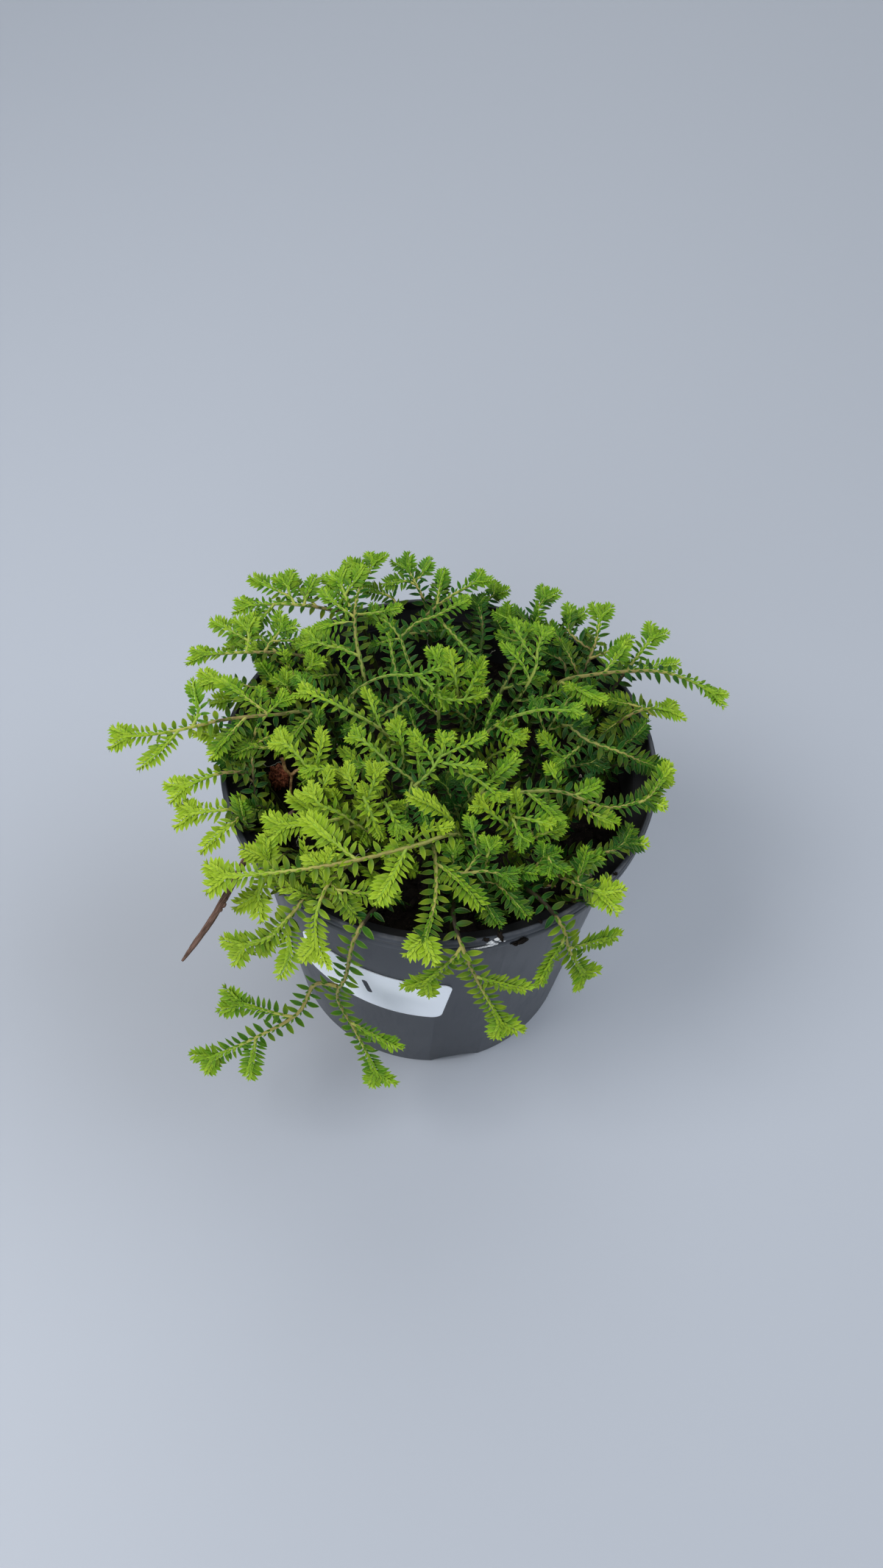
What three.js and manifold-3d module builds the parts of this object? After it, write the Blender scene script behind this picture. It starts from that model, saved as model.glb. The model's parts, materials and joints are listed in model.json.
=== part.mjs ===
// A creeping spikemoss in a round nursery pot. Millimetres, +Z up.
// The pot's axis is the Z axis, it stands on the plane z = 0, and the front is -Y.
// Places round the pot are given as an azimuth in degrees (0 is +X, -90 is the front),
// a distance from the pot's axis, and a height.

import * as THREE from 'three';
import Module from 'manifold-3d';
import { mergeVertices } from 'three/addons/utils/BufferGeometryUtils.js';

// ---------------------------------------------------------------------------------------
// Driving dimensions, in millimetres and degrees
// ---------------------------------------------------------------------------------------

// The pot: a 12 cm nursery pot, moulded in one piece of black plastic
const RIM_RADIUS = 60;
const POT_HEIGHT = 104;
const RIM_BAND = 5.5; // height of the collar below the rim
const RIM_LIP = 1.6; // width of the rim's flat top
const RIM_DRAFT = 0.3; // the collar's faces lean by this much, so that the pot leaves its mould
const BODY_TOP_RADIUS = 55.4; // outside of the wall, just below the collar
const STEP_TOP = 2.7; // inside, the step from collar to wall starts this far above the collar's foot
const STEP_FOOT = 1.3; // and ends this far above it
const FOOT_RADIUS = 45;
const WALL = 1.3;
const FLOOR_TOP = 4.5;
const FOOT_RING = 3.6; // width of the ring it stands on
const FLOOR_RAISE = 2.4; // the floor's underside clears the table by this, but for the pad
const PAD_RADIUS = 12; // the flat pad at the middle of the floor
const SECTORS = 36;
const FOOT_NOTCH = { count: 4, first: -77, width: 16, height: 3.6 };
const DRAIN_HOLE = { count: 6, first: -60, radius: 4.5, ring: 28 };

// The potting mix
const SOIL_TOP = 87;
const SOIL_RELIEF = 1.6;
const SOIL_RINGS = 4;
const GAP = 0.3; // clearance between pieces that touch

// The blank label on the wall
const LABEL = { azimuth: -108.5, height: 56.5, width: 45, tall: 25, tilt: 6, corner: 3 };
const LABEL_THICK = 0.4;
const LABEL_OFF = 0.45; // its back clears the wall by this, with its strips a little inside their arc
const LABEL_STRIPS = 8; // between the round corners

// Loose bits: a stick caught in the mat, leaning on the rim, and two things on the soil
const TWIG = {
  route: [[-149, 44, 104.2], [-142, 59, 105.4], [-136, 70.5, 105.3], [-133, 79, 105], [-130.5, 90.5, 105]],
  radii: [0.75, 0.9, 0.95, 0.9, 0.9, 0.9, 1.25, 0.8, 0.55],
  sides: 6,
};
const BARK_CHIP = { azimuth: -176, radius: 45, size: [5.6, 6.8, 7.5], turn: 25, detail: 1 };
const PERLITE = { azimuth: -33, radius: 49.5, size: [2.4, 3, 2.2], turn: 40, detail: 0 };

// The leafy stems
const ROOT_DEPTH = 6; // how deep a stem stands in its hole
const HOLE_RADIUS = 1.6;
const HOLE_SIDES = 5;
const HOLE_ABOVE = 2.5; // how far the tool that makes the hole sticks out of the soil
const STEM_HALF_WIDTH = 0.65;
const STEM_HALF_THICKNESS = 0.55;
const TIP_HALF_WIDTH = 0.45;
const LEAF_HALF_THICKNESS = 0.32;
const TIP_HALF_THICKNESS = 0.4;
const LEAF_LENGTH = 5.8; // from the middle of the stem to the leaf's point
const LEAF_FOOT = 2.8; // width of a leaf where it leaves the stem
const LEAF_PITCH = 6.4; // along the stem, from one pair of leaves to the next
const LEAF_ANGLE = 74; // between a leaf and the stem ahead of it
const LEAF_SWAY = 12; // how much that angle varies
const LEAF_CLOSING = 10; // by how much it closes towards the tip
const LEAF_SIZES = [1, 0.8, 0.6, 0.42]; // tried in this order where room is short
const LEAF_CLEARANCE = 0.25;
const LEAF_SHARED = 0.3; // share of a leaf, from its foot, that may lie against what it grows beside
const BARE_STEM = 9; // from the soil to the first leaf
const BRANCH_ANGLE = 48;
const FORKED_BRANCH = 13; // a branch longer than this ends in two buds
const ARM_START = 9; // an arm lies in the plane of its parent for so far
const ARM_BARE = 14; // and has no leaves for so far
const ARM_SEED = 100;
const BUD_LENGTH = 7.5;
const BUD_TEETH = [[2.2, 2.7], [3.2, 1.7], [5, 2.1]]; // ahead of and beside the bud's foot
const FORK_ANGLE = 34;
const FORK_STALK = 0.8;
const FORK_INNER = 0.4; // the buds of a fork are this much narrower on their inner sides

// ---------------------------------------------------------------------------------------
// The leafy stems
// ---------------------------------------------------------------------------------------
// route: [azimuth, radius] where the stem leaves the soil, then [azimuth, radius, height]
// of the points that it passes, the last one at the foot of its end bud.
// branches: [share of the stem's length, signed length], + to the left and - to the right,
// seen from above by someone who walks from root to tip.
// arm: a long branch with a route of its own, that leaves the stem at `from`, a share too.
// roll: degrees by which a stem's spray has turned about the stem at its tip.
const STEMS = [
  // Trails that hang over the front of the rim
  {
    name: 'trail_front_left',
    route: [[-100, 41], [-102, 48, 103.5], [-105, 57, 108.5], [-107, 63, 104], [-109, 64, 86],
      [-112, 63.5, 70], [-107, 65, 57], [-101, 68.5, 42]],
    roll: -45,
    branches: [[0.8, 9]],
    arm: {
      from: 0.64,
      side: -1,
      route: [[-120.5, 69, 60], [-126, 79, 53], [-131, 89, 46]],
      branches: [[0.46, -15], [0.76, 8]],
    },
  },
  {
    name: 'trail_front_mid',
    route: [[-82, 40], [-83, 47, 103], [-84, 55, 107.5], [-82, 62, 104], [-79, 63.5, 93],
      [-76, 65, 83], [-73, 68, 74]],
    branches: [[0.58, -16], [0.72, 9]],
  },
  {
    name: 'trail_front_right',
    route: [[-64, 41], [-62, 48, 104], [-60, 56, 107.5], [-58, 62.5, 103.5], [-56, 64, 93],
      [-52, 66.5, 80]],
    branches: [[0.66, -9], [0.8, 12]],
  },
  {
    name: 'trail_left_low',
    route: [[-124, 40], [-123, 48, 103.5], [-122, 57, 107.5], [-123, 63, 103], [-126, 68, 95],
      [-130, 73, 91]],
    branches: [[0.74, 8]],
  },
  {
    name: 'spray_left_low',
    route: [[-139.5, 43], [-136.5, 51, 103.5], [-133.5, 59, 107], [-132, 65, 103.5]],
    branches: [],
  },
  {
    name: 'spray_front_bud',
    route: [[-112, 37], [-115, 45, 108], [-117, 54, 113], [-116.5, 62, 109], [-115, 66, 101]],
    branches: [[0.42, 9]],
  },
  // Sprays that reach out over the left of the rim
  {
    name: 'spray_left_1',
    route: [[-153, 42], [-153, 50, 104.5], [-154, 59, 108], [-158, 68, 105]],
    branches: [[0.72, 9]],
  },
  {
    name: 'spray_left_2',
    route: [[-166, 44], [-166, 50, 104], [-166, 59, 108], [-165, 69, 106]],
    branches: [[0.6, -9]],
  },
  {
    name: 'trail_far_left',
    route: [[163, 27], [170, 34, 110], [177, 46, 113], [180, 58, 113], [182, 69, 111],
      [183, 77, 110], [183, 84, 109]],
    branches: [[0.44, 11], [0.55, -13], [0.65, 10], [0.84, 8]],
  },
  {
    name: 'spray_left_3',
    route: [[162, 40], [163, 48, 106], [165, 58, 110], [166, 66, 110]],
    branches: [[0.6, -10]],
  },
  {
    name: 'spray_left_4',
    route: [[139, 31], [143, 40, 109], [149, 50, 112], [155, 61, 112], [159, 73, 109.5]],
    branches: [[0.44, 10], [0.68, -12]],
  },
  {
    name: 'spray_left_5',
    route: [[143, 45], [146, 52, 105.5], [149, 60, 108.2], [151, 67, 108]],
    branches: [],
  },
  // Sprays that stand over the back of the rim
  {
    name: 'spray_back_1',
    route: [[116, 45], [121, 50, 109], [129, 56, 113], [137, 64, 114], [143, 72, 113]],
    branches: [[0.52, -12], [0.74, -11]],
  },
  {
    name: 'spray_back_2',
    route: [[153, 21], [142, 28, 112.5], [131, 39, 117.5], [121, 51, 119], [112, 61, 119.5]],
    branches: [[0.52, 12], [0.76, 10]],
  },
  {
    name: 'spray_back_3',
    route: [[95, 44], [97, 50, 107.5], [100, 57, 112.5], [102, 61, 115]],
    branches: [[0.62, -8]],
  },
  {
    name: 'spray_back_4',
    route: [[122, 30], [112, 36, 108], [100, 43, 112], [90, 49, 115], [82, 55, 116.5]],
    branches: [[0.55, -9], [0.76, 9]],
  },
  {
    name: 'spray_back_5',
    route: [[61.5, 43], [61.5, 49, 108], [62, 55, 111.5], [62, 60, 112.5]],
    branches: [[0.6, 9]],
  },
  {
    name: 'spray_back_6',
    route: [[82, 44], [81, 50, 104], [79, 56, 107], [77, 60, 108]],
    branches: [],
  },
  {
    name: 'spray_back_7',
    route: [[47.5, 43], [49.5, 49, 105], [51.5, 56, 108.5], [52.5, 60, 110]],
    branches: [],
  },
  {
    name: 'spray_right_1',
    route: [[33, 41], [36, 49, 107], [41, 57, 111.5], [46, 64, 113.5]],
    branches: [[0.62, 9], [0.78, -8]],
  },
  {
    name: 'spray_right_2',
    route: [[20, 43], [24, 50, 104], [29, 58, 107.5], [33, 67, 109], [35, 73, 110]],
    branches: [[0.76, -10]],
  },
  {
    name: 'trail_right',
    route: [[38, 30], [33, 37, 111], [28, 46, 115], [25, 56, 115], [23, 66, 113.5], [20, 74, 111],
      [17, 79, 109]],
    branches: [[0.44, -10], [0.62, 9]],
  },
  {
    name: 'spray_right_3',
    route: [[12, 43], [13, 50, 106], [14.5, 58, 110], [15, 65, 107.5]],
    branches: [],
  },
  {
    name: 'spray_right_4',
    route: [[-2, 39], [-2, 47, 103.5], [-3, 56, 106.8], [-3, 62, 104.5]],
    branches: [[0.6, 7]],
  },
  {
    name: 'spray_right_5',
    route: [[-78, 15], [-62, 21, 109.5], [-44, 28, 113.5], [-31, 37, 114.5], [-24, 47, 113.5],
      [-17, 56, 111.5]],
    branches: [[0.4, 9], [0.6, -11], [0.78, 9]],
  },
  {
    name: 'spray_right_6',
    route: [[-41, 41], [-41, 48, 104], [-36, 55, 107.5], [-31, 57, 107.5]],
    branches: [],
  },
  {
    name: 'spray_right_7',
    route: [[-54, 42], [-52, 49, 104.5], [-49.5, 57, 108.3], [-47, 61.5, 107.8]],
    branches: [[0.64, 8]],
  },
  // Long sprays on top of the mat at the front
  {
    name: 'spray_front_1',
    route: [[-68, 29], [-80, 34, 113], [-96, 41, 118.5], [-111, 49, 118.5], [-123, 57, 116],
      [-132, 65, 113], [-136, 70, 112]],
    branches: [[0.38, -11], [0.52, 9], [0.66, -12]],
  },
  {
    name: 'spray_front_2',
    route: [[-96, 26], [-91, 34, 109], [-89, 43, 112], [-89, 52, 111], [-91, 60, 107]],
    branches: [[0.5, -10], [0.66, 9]],
  },
  {
    name: 'spray_front_3',
    route: [[-118, 25], [-125, 34, 110], [-132, 44, 114], [-138, 53, 115], [-143, 59, 113.5]],
    branches: [[0.47, 9], [0.66, -10]],
  },
  // Shorter sprays that fill the mat
  {
    name: 'spray_mid_1',
    route: [[95, 5], [95, 12, 110], [96, 22, 117], [98, 32, 119]],
    branches: [[0.5, 9], [0.66, -9]],
  },
  {
    name: 'spray_mid_2',
    route: [[10, 6], [8, 13, 112], [5, 24, 121], [3, 34, 122.5]],
    branches: [[0.5, 9], [0.68, -9]],
  },
  {
    name: 'spray_mid_3',
    route: [[-85, 5], [-80, 12, 110], [-66, 20, 118], [-60, 30, 121]],
    branches: [[0.55, -9]],
  },
  {
    name: 'spray_mid_4',
    route: [[185, 6], [183, 14, 110], [178, 25, 118.5], [172, 36, 120]],
    branches: [[0.5, 9], [0.68, -9]],
  },
  {
    name: 'spray_mid_5',
    route: [[-140, 13], [-142, 20, 108], [-150, 30, 113], [-157, 42, 114.5]],
    branches: [[0.5, 9], [0.68, -9]],
  },
  {
    name: 'spray_mid_6',
    route: [[45, 15], [47, 22, 108], [52, 32, 113.5], [58, 43, 115]],
    branches: [[0.52, 10], [0.68, -9]],
  },
  {
    name: 'spray_mid_7',
    route: [[72, 26], [73, 33, 105], [76, 43, 110], [80, 51, 111]],
    branches: [[0.55, 9]],
  },
  {
    name: 'spray_mid_8',
    route: [[-12, 25], [-10, 32, 104.5], [-6, 41, 108], [-5, 48, 108.8]],
    branches: [[0.55, 9]],
  },
  {
    name: 'spray_mid_9',
    route: [[-173, 27], [-171.5, 34, 105], [-172, 43, 109], [-173.5, 51, 109]],
    branches: [[0.55, 9]],
  },
  {
    name: 'spray_mid_10',
    route: [[-48, 24], [-48, 31, 105], [-50, 41, 110], [-53, 49, 111]],
    branches: [[0.54, 9]],
  },
  {
    name: 'spray_mid_11',
    route: [[-74, 44], [-73.5, 47, 97], [-73, 51, 101]],
    branches: [],
  },
  {
    name: 'spray_mid_12',
    route: [[150, 10], [133, 16, 108], [122, 27, 113.5], [116, 38, 115]],
    branches: [[0.55, 9]],
  },
];

// ---------------------------------------------------------------------------------------
// Small tools
// ---------------------------------------------------------------------------------------
const wasm = await Module();
wasm.setup();

/** Joins equal corners, because a solid needs shared ones. */
function welded(geometry) {
  const bare = geometry.clone();
  bare.deleteAttribute('normal');
  bare.deleteAttribute('uv');
  return mergeVertices(bare, 1e-4);
}

function solidOf(geometry) {
  const joined = welded(geometry);
  const mesh = new wasm.Mesh({
    numProp: 3,
    vertProperties: new Float32Array(joined.attributes.position.array),
    triVerts: new Uint32Array(joined.index.array),
  });
  return new wasm.Manifold(mesh);
}

function geometryOf(solid) {
  const mesh = solid.getMesh();
  const geometry = new THREE.BufferGeometry();
  const corners = new Float32Array((mesh.vertProperties.length / mesh.numProp) * 3);
  for (let i = 0; i < corners.length / 3; i++) {
    corners.set(mesh.vertProperties.subarray(i * mesh.numProp, i * mesh.numProp + 3), i * 3);
  }
  geometry.setAttribute('position', new THREE.BufferAttribute(corners, 3));
  geometry.setIndex(Array.from(mesh.triVerts));
  return geometry;
}

const radians = THREE.MathUtils.degToRad;

function place(azimuth, radius, height = 0) {
  const angle = radians(azimuth);
  return new THREE.Vector3(radius * Math.cos(angle), radius * Math.sin(angle), height);
}

/** A repeatable draw from 0 to 1 for the n-th thing of a kind. */
function draw(n, kind) {
  const wave = Math.sin(n * 12.9898 + kind * 78.233) * 43758.5453;
  return wave - Math.floor(wave);
}

/** A lathe geometry turned so that its axis is Z. */
function turned(profile, sectors) {
  const points = profile.map(([radius, height]) => new THREE.Vector2(radius, height));
  return new THREE.LatheGeometry(points, sectors).rotateX(Math.PI / 2);
}

// ---------------------------------------------------------------------------------------
// The pot and what fills it
// ---------------------------------------------------------------------------------------
const COLLAR_FOOT = POT_HEIGHT - RIM_BAND;

/** Radius of the wall's outside at a height below the collar. */
function wallRadius(height) {
  return FOOT_RADIUS + ((BODY_TOP_RADIUS - FOOT_RADIUS) * height) / COLLAR_FOOT;
}

function potGeometry() {
  const innerRing = FOOT_RADIUS - FOOT_RING;
  const profile = [
    [0, 0],
    [PAD_RADIUS, 0],
    [PAD_RADIUS + 0.6, FLOOR_RAISE],
    [innerRing, FLOOR_RAISE],
    [innerRing + 0.3, 0],
    [FOOT_RADIUS, 0],
    [BODY_TOP_RADIUS, COLLAR_FOOT],
    [RIM_RADIUS - RIM_DRAFT, COLLAR_FOOT],
    [RIM_RADIUS, POT_HEIGHT],
    [RIM_RADIUS - RIM_LIP, POT_HEIGHT],
    [RIM_RADIUS - RIM_LIP - RIM_DRAFT, COLLAR_FOOT + STEP_TOP],
    [BODY_TOP_RADIUS - WALL, COLLAR_FOOT + STEP_FOOT],
    [wallRadius(FLOOR_TOP) - WALL, FLOOR_TOP],
    [0, FLOOR_TOP],
  ];
  let pot = solidOf(turned(profile, SECTORS));
  // Arched notches in the foot ring let the water out
  const { count, first, width, height } = FOOT_NOTCH;
  const arch = ((width / 2) ** 2 + height ** 2) / (2 * height);
  for (let i = 0; i < count; i++) {
    const azimuth = first + (i * 360) / count;
    const notch = new THREE.CylinderGeometry(arch, arch, 3 * FOOT_RING, 20)
      .rotateZ(Math.PI / 2)
      .translate(FOOT_RADIUS - FOOT_RING / 2, 0, height - arch)
      .rotateZ(radians(azimuth));
    pot = pot.subtract(solidOf(notch));
  }
  for (let i = 0; i < DRAIN_HOLE.count; i++) {
    const centre = place(DRAIN_HOLE.first + (i * 360) / DRAIN_HOLE.count, DRAIN_HOLE.ring, FLOOR_TOP / 2);
    const hole = new THREE.CylinderGeometry(DRAIN_HOLE.radius, DRAIN_HOLE.radius, 2 * FLOOR_TOP, 8)
      .rotateX(Math.PI / 2)
      .translate(centre.x, centre.y, centre.z);
    pot = pot.subtract(solidOf(hole));
  }
  return geometryOf(pot);
}

/** Radius of the potting mix at a height: the pot's inside, less the gap. */
function soilRadius(height) {
  const low = wallRadius(FLOOR_TOP) - WALL;
  const high = BODY_TOP_RADIUS - WALL;
  const share = (height - FLOOR_TOP) / (COLLAR_FOOT + STEP_FOOT - FLOOR_TOP);
  return low + (high - low) * share - GAP;
}

const SOIL_EDGE = soilRadius(SOIL_TOP);

/** Height of the crumbly surface; it is level where it meets the wall. */
function ground(x, y) {
  const fade = Math.max(0, 1 - (Math.hypot(x, y) / SOIL_EDGE) ** 4);
  const crumbs = Math.sin(x * 0.17 + 1.3) * Math.cos(y * 0.15 - 0.4) + 0.5 * Math.sin((x - y) * 0.13);
  return SOIL_TOP + SOIL_RELIEF * fade * crumbs;
}

function soilGeometry(holes) {
  const profile = [[0, FLOOR_TOP + GAP], [soilRadius(FLOOR_TOP + GAP), FLOOR_TOP + GAP]];
  for (let ring = SOIL_RINGS; ring >= 0; ring--) {
    profile.push([(SOIL_EDGE * ring) / SOIL_RINGS, SOIL_TOP]);
  }
  const body = turned(profile, SECTORS);
  const corners = body.attributes.position;
  for (let i = 0; i < corners.count; i++) {
    if (corners.getZ(i) > FLOOR_TOP + 1) {
      corners.setZ(i, ground(corners.getX(i), corners.getY(i)));
    }
  }
  let soil = solidOf(body);
  for (const hole of holes) {
    soil = soil.subtract(solidOf(hole));
  }
  return geometryOf(soil);
}

// ---------------------------------------------------------------------------------------
// Thin sheets: a flat layout of triangles, given a thickness and then bent
// ---------------------------------------------------------------------------------------

/** Closes a flat layout into one thin solid: `seat(spot, side)` puts a spot's top or underside. */
function sheetGeometry(spots, faces, seat) {
  const corners = [];
  for (const side of [1, -1]) {
    for (const spot of spots) {
      corners.push(...seat(spot, side).toArray());
    }
  }
  const under = spots.length;
  const indices = [];
  const edges = new Map();
  for (const [a, b, c] of faces) {
    indices.push(a, b, c, a + under, c + under, b + under);
    for (const [from, to] of [[a, b], [b, c], [c, a]]) {
      edges.set(`${from},${to}`, [from, to]);
    }
  }
  for (const [from, to] of edges.values()) {
    if (!edges.has(`${to},${from}`)) {
      indices.push(from, from + under, to + under, from, to + under, to);
    }
  }
  const geometry = new THREE.BufferGeometry();
  geometry.setAttribute('position', new THREE.Float32BufferAttribute(corners, 3));
  geometry.setIndex(indices);
  return geometry;
}

/** The label: a rectangle with round corners, laid in strips that follow the tapered wall. */
function labelGeometry() {
  const { azimuth, height, width, tall, tilt, corner } = LABEL;
  const ends = [0, 30, 60, 90].map((turn) => corner * (1 - Math.cos(radians(turn))));
  const cuts = [...ends];
  for (let i = 1; i < LABEL_STRIPS; i++) {
    cuts.push(corner + ((width - 2 * corner) * i) / LABEL_STRIPS);
  }
  cuts.push(...ends.map((inset) => width - inset).reverse());
  const spots = [];
  const faces = [];
  cuts.forEach((cut, i) => {
    const inset = corner - Math.min(cut, width - cut, corner);
    const half = tall / 2 - corner + Math.sqrt(corner ** 2 - inset ** 2);
    spots.push([cut - width / 2, -half], [cut - width / 2, half]);
    if (i > 0) {
      const k = 2 * i;
      faces.push([k - 2, k, k + 1], [k - 2, k + 1, k - 1]);
    }
  });
  const lean = radians(-tilt);
  const seat = ([x, y], side) => {
    const up = height + x * Math.sin(lean) + y * Math.cos(lean);
    const round = x * Math.cos(lean) - y * Math.sin(lean);
    const radius = wallRadius(up) + LABEL_OFF + (side > 0 ? LABEL_THICK : 0);
    return place(azimuth + THREE.MathUtils.radToDeg(round / wallRadius(height)), radius, up);
  };
  return sheetGeometry(spots, faces, seat);
}

/** Height at which something with a flat width comes to lie on the soil. */
function restingHeight(centre, width) {
  const around = [0, 60, 120, 180, 240, 300].map((turn) => place(turn, width / 2).add(centre));
  return Math.max(...[centre, ...around].map(({ x, y }) => ground(x, y))) + 1.2 * GAP;
}

/** A rough lump lying on the soil: a chip of bark or a grain of perlite. */
function lumpGeometry({ azimuth, radius, size, turn, detail }) {
  const lump = welded(new THREE.IcosahedronGeometry(0.5, detail));
  const corners = lump.attributes.position;
  for (let i = 0; i < corners.count; i++) {
    const corner = new THREE.Vector3().fromBufferAttribute(corners, i);
    corner.multiplyScalar(1 + 0.22 * Math.sin(corner.x * 9 + corner.z * 5) * Math.cos(corner.y * 8));
    corners.setXYZ(i, ...corner.toArray());
  }
  lump.scale(...size).rotateZ(radians(turn));
  lump.computeBoundingBox();
  const spot = place(azimuth, radius);
  const lift = restingHeight(spot, Math.max(size[0], size[1])) - lump.boundingBox.min.z;
  return lump.translate(spot.x, spot.y, lift);
}

/** The dry twig: a tapering, slightly crooked stick with a swollen knot. */
function twigGeometry() {
  const { route, radii, sides } = TWIG;
  const curve = new THREE.CatmullRomCurve3(route.map((point) => place(...point)));
  const rings = radii.length;
  const frames = curve.computeFrenetFrames(rings - 1);
  const corners = [];
  for (let i = 0; i < rings; i++) {
    const centre = curve.getPointAt(i / (rings - 1));
    for (let k = 0; k < sides; k++) {
      const turn = (2 * Math.PI * k) / sides;
      const corner = centre.clone().addScaledVector(frames.normals[i], radii[i] * Math.cos(turn));
      corners.push(...corner.addScaledVector(frames.binormals[i], radii[i] * Math.sin(turn)).toArray());
    }
  }
  const indices = [];
  for (let k = 0; k < sides; k++) {
    const next = (k + 1) % sides;
    for (let i = 0; i < rings - 1; i++) {
      const [a, b, c, d] = [i * sides + k, i * sides + next, (i + 1) * sides + next, (i + 1) * sides + k];
      indices.push(a, b, c, a, c, d);
    }
    if (k > 0 && next > 0) {
      const far = (rings - 1) * sides;
      indices.push(0, next, k, far, far + k, far + next);
    }
  }
  const twig = new THREE.BufferGeometry();
  twig.setAttribute('position', new THREE.Float32BufferAttribute(corners, 3));
  twig.setIndex(indices);
  return twig;
}

// ---------------------------------------------------------------------------------------
// Leafy stems
// ---------------------------------------------------------------------------------------

/**
 * The curve that a stem follows, with the frame that its flat spray is bent along.
 * By its end the frame has rolled by `roll` degrees about the stem.
 */
class Rail {
  constructor(passed, firstLeft, roll = 0) {
    const curve = new THREE.CatmullRomCurve3(passed, false, 'catmullrom', 0.5);
    this.points = curve.getPoints(24 * (passed.length - 1));
    this.marks = [0];
    this.tangents = [];
    this.lefts = [];
    const last = this.points.length - 1;
    const left = firstLeft.clone();
    for (let i = 0; i <= last; i++) {
      const ahead = this.points[Math.min(i + 1, last)];
      const behind = this.points[Math.max(i - 1, 0)];
      const tangent = ahead.clone().sub(behind).normalize();
      left.addScaledVector(tangent, -left.dot(tangent)).normalize();
      this.tangents.push(tangent);
      this.lefts.push(left.clone().applyAxisAngle(tangent, (radians(roll) * i) / last));
      if (i > 0) {
        this.marks.push(this.marks[i - 1] + this.points[i].distanceTo(this.points[i - 1]));
      }
    }
    this.length = this.marks[last];
  }

  /** The rail's point, tangent and left at a distance; beyond its end it runs straight on. */
  frame(along) {
    const last = this.marks.length - 1;
    let i = 1;
    while (i < last && this.marks[i] < along) {
      i += 1;
    }
    const stretch = this.marks[i] - this.marks[i - 1];
    const share = (along - this.marks[i - 1]) / stretch;
    const inside = Math.min(1, share);
    const tangent = this.tangents[i - 1].clone().lerp(this.tangents[i], inside).normalize();
    const side = this.lefts[i - 1].clone().lerp(this.lefts[i], inside).normalize();
    const point = this.points[i - 1].clone().lerp(this.points[i], inside);
    return { point: point.addScaledVector(tangent, (share - inside) * stretch), tangent, side };
  }

  /** Position of a point given along the rail, to its left and above it. */
  at(along, left, above) {
    const { point, tangent, side } = this.frame(along);
    return point.addScaledVector(side, left).addScaledVector(tangent.cross(side), above);
  }
}

/** The rail of a stem that stands in the soil; it starts at the bottom of the stem's hole. */
function rootedRail(route, roll) {
  const [[azimuth, radius], ...rest] = route;
  const foot = place(azimuth, radius);
  foot.z = ground(foot.x, foot.y);
  const passed = rest.map((point) => place(...point));
  const lean = passed[0].clone().sub(foot).normalize();
  const deep = foot.clone().addScaledVector(lean, -ROOT_DEPTH);
  const outward = passed[passed.length - 1].clone().sub(foot);
  const left = new THREE.Vector3(-outward.y, outward.x, 0).normalize();
  return { foot, lean, rail: new Rail([deep, foot, ...passed], left, roll) };
}

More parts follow.
